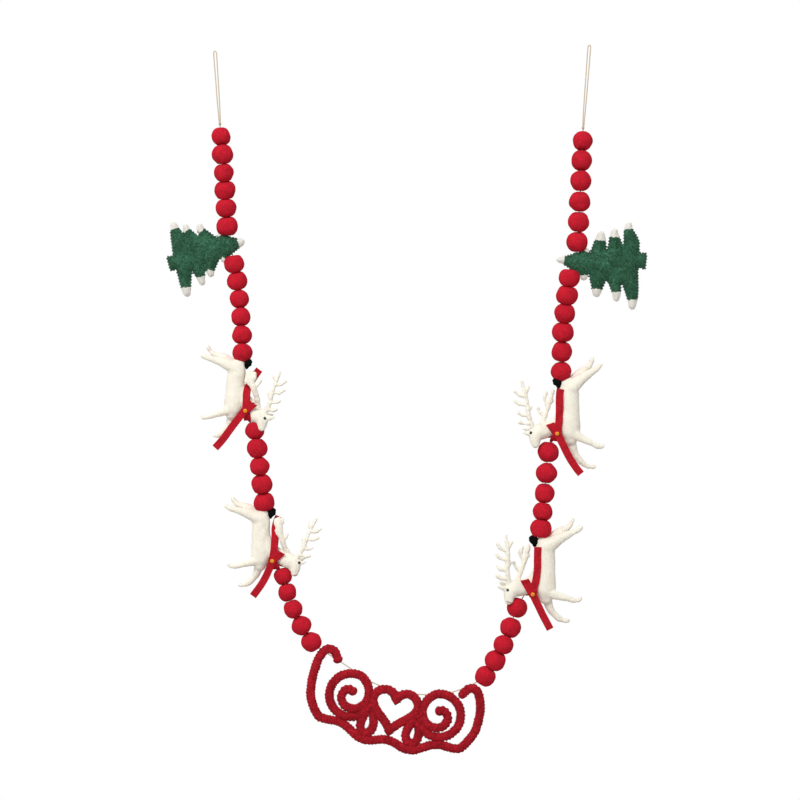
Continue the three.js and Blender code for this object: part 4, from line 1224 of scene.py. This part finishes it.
def neck_wrap(bm, deer, width, under, lift):
    """The part of the scarf that goes from the knot round behind the neck and lies close on it."""
    x, z, lean, radius = deer["wrap"]
    side = deer["side"]
    lean = math.radians(lean)
    up = Vector((-side * math.sin(lean), 0, math.cos(lean)))
    across = Vector((math.cos(lean), 0, side * math.sin(lean)))
    # the neck's middle is a little in front of the garland's plane
    knot = Vector((deer["knot"][0], -1.2, deer["knot"][1]))
    front = (knot + Vector((side * 0.5, 0, min(z + 3, 4.5)))) * MM
    beside = (knot + Vector((side * x, 0, z))) * MM
    count = 48
    made = grid(bm, 6, count)
    for v, _, ring in made:
        share = v.co.x
        angle = math.tau * (ring % count) / count
        out = up * math.sin(angle) + FRONT * math.cos(angle)
        start = front.lerp(beside, 1 - math.cos(angle)) + across * share * width / 2
        hit = under.ray_cast(start + out * 30 * MM, -out)[0]
        reach = (hit - start).length + lift if hit else radius * MM
        v.co = start + out * min(max(reach, (radius + TURN_SLACK[0]) * MM), (radius + TURN_SLACK[1]) * MM)
    made = [v for v, _, _ in made]
    weld(bm, made)
    relax(bm, 2, [v for v in made if v.is_valid], factor=0.4)


def french_knot():
    """Three turns of thick yellow thread drawn up into a button."""
    rows = [(0, 0, 0.9)]
    for k in range(40):
        t = k / 39
        angle = math.tau * 3 * t
        radius = 0.35 + 1.75 * math.sin(math.pi * (0.12 + 0.55 * t))
        rows.append((radius * math.cos(angle), radius * math.sin(angle), 1.1 - 1.5 * t))
    return thread_mesh("yellow_knot", rows, 8)


def scarf_lines(deer):
    """The middle lines of a scarf's collar and ends, in metres."""
    upright = deer_matrix(deer, turned=False)
    lines = {part: [tuple(upright @ Vector(row)) for row in rows]
             for part, rows in SCARF_ENDS[deer["name"]].items()}
    knot = at(deer["knot"], -KNOT_DEPTH)
    x, z = deer["short_end"]
    tip = knot + Vector((deer["side"] * x, 0.5, z)) * MM
    lines["short"] = [tuple(knot.lerp(tip, share)) for share in (-0.1, 0.45, 1)]
    return lines


def laid_scarf(deer, body, lines):
    """A scarf's strips of felt, each laid on the reindeer and on the ones before it."""
    width = sizes().scarf_width
    bm = bmesh.new()
    laid = bmesh.new()
    laid.from_mesh(body.data)
    for part, lift in LAYERS.items():
        under = BVHTree.FromBMesh(laid)
        for into in (laid, bm):
            if part == "turn":
                neck_wrap(into, deer, width, under, lift * MM)
            elif part == "short":
                laid_strip(into, lines[part], width * 1.1, under, lift * MM,
                           notch=deer["notch"] * MM, slant=0.3 * deer["side"])
            elif part in lines:
                laid_strip(into, lines[part], width, under, lift * MM)
    laid.free()
    return bm


class GARLAND_OT_scarves(bpy.types.Operator):
    """Wraps the reindeer in strips of felt, held by a yellow knot"""
    bl_idname = "garland.scarves"
    bl_label = "Scarves"

    def execute(self, context):
        knots = []
        for deer in DEER:
            body = bpy.data.objects[f"felted_reindeer_{deer['name']}"]
            lines = scarf_lines(deer)
            bm = laid_scarf(deer, body, lines)
            piece = make_piece(f"felt_scarf_{deer['name']}", bm, finishes()["scarf_sheet_felt"])
            solid = piece.modifiers.new("felt", "SOLIDIFY")
            solid.thickness = sizes().scarf_thick
            solid.offset = 0
            edge = piece.modifiers.new("cut_edge", "BEVEL")
            edge.width = 0.25 * MM
            edge.segments = 2
            settle(piece)
            whole = sum(line_length(line) for line in lines.values()) + math.tau * deer["wrap"][3] * MM
            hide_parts(f"scarf_{deer['name']}")
            top = BVHTree.FromObject(piece, context.evaluated_depsgraph_get())
            knot = at(deer["knot"], -KNOT_DEPTH)
            spot = top.ray_cast(knot + FRONT * 40 * MM, -FRONT)[0] or knot
            knots.append(facing(spot, FRONT, 0.9))
        model = french_knot()
        strewn("yellow_knots", model, knots, finishes()["yellow_stranded_thread"])
        bpy.data.meshes.remove(model)
        return {"FINISHED"}


# ---- scroll of felt cord ----

def heart_line(count=150):
    points = []
    for k in range(count):
        t = math.pi * (1 + 2 * k / count)
        x = 16 * math.sin(t) ** 3
        z = 13 * math.cos(t) - 5 * math.cos(2 * t) - 2 * math.cos(3 * t) - math.cos(4 * t)
        points.append((HEART["middle"][0] + HEART["size"] * x, HEART["middle"][1] + HEART["size"] * z))
    return points


def volute_line(side, count=150):
    points = []
    for k in range(count + 1):
        share = k / count
        angle = math.radians(VOLUTE["start"]) + math.tau * VOLUTE["turns"] * share
        closing = (max(share - VOLUTE["open"], 0) / (1 - VOLUTE["open"])) ** 0.85
        radius = VOLUTE["outer"] - (VOLUTE["outer"] - VOLUTE["inner"]) * closing
        points.append((side * (VOLUTE["middle"][0] + radius * math.cos(angle)),
                       VOLUTE["middle"][1] + radius * math.sin(angle)))
    return points


def bud_line(side, count=64):
    points = []
    for k in range(count):
        t = math.tau * k / count
        points.append((side * (BUD["middle"][0] + BUD["half"] * math.sin(t) * math.sin(t / 2)),
                       BUD["middle"][1] + BUD["tall"] / 2 * math.cos(t)))
    return points


def vine_line():
    foot = []
    for k in range(21):
        x = (2 * k / 20 - 1) * VINE["reach"]
        wave = VINE["wave"] * math.cos(math.tau * VINE["crests"] * (k / 20 - 0.5))
        foot.append((x, VINE["low"] + VINE["rise"] * (x / SCROLL["half_width"]) ** 2 + wave))
    rows = [*reversed(TENDRILS["left"]), *foot, *TENDRILS["right"]]
    return [(row[0], row[2]) for row in smooth_line([(x, 0, z) for x, z in rows], 1.5)]


class GARLAND_OT_scroll(bpy.types.Operator):
    """Bends and sews the scroll of stuffed felt cord"""
    bl_idname = "garland.scroll"
    bl_label = "Felt scroll"

    def execute(self, context):
        lines = [(heart_line(), True), (vine_line(), False)]
        for side in (1, -1):
            lines += [(volute_line(side), False), (bud_line(side), True)]
        bm = bmesh.new()
        half = sizes().cord_width / 2
        for line, closed in lines:
            points = [scroll_place(x, z) for x, z in line]
            radii = []
            travelled = 0
            for i, point in enumerate(points):
                travelled += (point - points[i - 1]).length if i else 0
                # the whip stitches pull the edge in every few millimetres
                radii.append(half * (1 + 0.11 * math.cos(math.tau * travelled / sizes().stitch)))
            oval_sleeve(bm, points, radii, 16, sizes().cord_depth / sizes().cord_width, closed)
        piece = make_piece("felt_cord_scroll", bm, finishes()["dark_red_wool_felt"])

        def change(bm):
            lump(bm, "scroll")
            press(bm, "scroll")

        reshape(piece, change)
        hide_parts("felt_scroll")
        return {"FINISHED"}


# ---- stage ----

def shown_pale(tree, lit, pale, end):
    """Ends a node tree that gives light as lit does and looks pale where the camera sees it."""
    seen = add(tree, "ShaderNodeLightPath").outputs["Is Camera Ray"]
    mixed = add(tree, "ShaderNodeMixShader", {0: seen, 1: lit, 2: pale})
    add(tree, end, {"Surface": mixed.outputs["Shader"]})


class GARLAND_OT_stage(bpy.types.Operator):
    """Sets up the camera, the pale floor and the soft studio light"""
    bl_idname = "garland.stage"
    bl_label = "Stage"

    def execute(self, context):
        scene = context.scene
        aim = Vector(AIM) * MM
        camera = bpy.data.objects.new("camera", bpy.data.cameras.new("camera"))
        scene.collection.objects.link(camera)
        camera.location = aim + FRONT * CAMERA_DISTANCE * MM
        camera.rotation_euler = (math.pi / 2, 0, 0)
        camera.data.lens = camera.data.sensor_width * CAMERA_DISTANCE / PLANE_WIDTH
        scene.camera = camera
        key = bpy.data.lights.new("key_softbox", "AREA")
        key.shape = "DISK"
        key.size = SOFTBOX["size"]
        key.energy = SOFTBOX["energy"]
        softbox = bpy.data.objects.new("key_softbox", key)
        softbox.location = aim + Vector(SOFTBOX["offset"])
        softbox.rotation_euler = (aim - softbox.location).to_track_quat("-Z", "Y").to_euler()
        scene.collection.objects.link(softbox)
        bm = bmesh.new()
        bmesh.ops.create_circle(bm, cap_ends=True, segments=96, radius=FLOOR["radius"])
        bmesh.ops.translate(bm, verts=bm.verts, vec=(aim.x, 0, FLOOR["height"]))
        floor = linked("studio_floor", mesh_from("studio_floor", bm))
        # Matt white paint, shown as pale as the backdrop; the light it throws back up is kept low.
        material, tree = new_material("matt_white_paint")
        paint = add(tree, "ShaderNodeBsdfPrincipled", {
            "Base Color": rgba(linear("#B9B8B6")), "Roughness": 0.9, "Specular IOR Level": 0.1})
        pale = add(tree, "ShaderNodeEmission", {"Color": rgba(linear("#FFFFFF")), "Strength": 1.0})
        shown_pale(tree, paint.outputs["BSDF"], pale.outputs["Emission"], "ShaderNodeOutputMaterial")
        floor.data.materials.append(material)
        world = bpy.data.worlds.new("studio")
        scene.world = world
        world.use_nodes = True
        tree = world.node_tree
        tree.nodes.clear()
        soft = add(tree, "ShaderNodeBackground", {"Color": rgba(linear("#FFFFFF")), "Strength": ROOM_LIGHT})
        white = add(tree, "ShaderNodeBackground", {"Color": rgba(linear("#FFFFFF")), "Strength": 1.0})
        shown_pale(tree, soft.outputs["Background"], white.outputs["Background"], "ShaderNodeOutputWorld")
        scene.view_settings.view_transform = "Standard"
        return {"FINISHED"}


# ---- panel and registration ----

OPERATORS = (
    GARLAND_OT_stage, GARLAND_OT_loops, GARLAND_OT_twine, GARLAND_OT_balls, GARLAND_OT_trees,
    GARLAND_OT_reindeer, GARLAND_OT_scarves, GARLAND_OT_scroll,
)


class GARLAND_PT_panel(bpy.types.Panel):
    """Lists the garland's pieces and their sizes and colours."""
    bl_idname = "GARLAND_PT_panel"
    bl_label = "Felt ball garland"
    bl_space_type = "VIEW_3D"
    bl_region_type = "UI"
    bl_category = "Garland"

    def draw(self, context):
        for operator in OPERATORS:
            self.layout.operator(operator.bl_idname)
        for group in (context.scene.garland_wool, context.scene.garland_sizes):
            for name in group.bl_rna.properties.keys():
                if name not in ("rna_type", "name"):
                    self.layout.prop(group, name)


CLASSES = (GARLAND_PG_wool, GARLAND_PG_sizes, *OPERATORS, GARLAND_PT_panel)


def register():
    for cls in CLASSES:
        bpy.utils.register_class(cls)
    bpy.types.Scene.garland_wool = bpy.props.PointerProperty(type=GARLAND_PG_wool)
    bpy.types.Scene.garland_sizes = bpy.props.PointerProperty(type=GARLAND_PG_sizes)


def unregister():
    del bpy.types.Scene.garland_wool
    del bpy.types.Scene.garland_sizes
    for cls in reversed(CLASSES):
        bpy.utils.unregister_class(cls)


def main():
    """Makes the whole garland."""
    register()
    bpy.ops.garland.stage()
    bpy.ops.garland.loops()
    bpy.ops.garland.twine()
    bpy.ops.garland.balls()
    bpy.ops.garland.trees()
    bpy.ops.garland.reindeer()
    bpy.ops.garland.scarves()
    bpy.ops.garland.scroll()


if __name__ == "__main__":
    main()
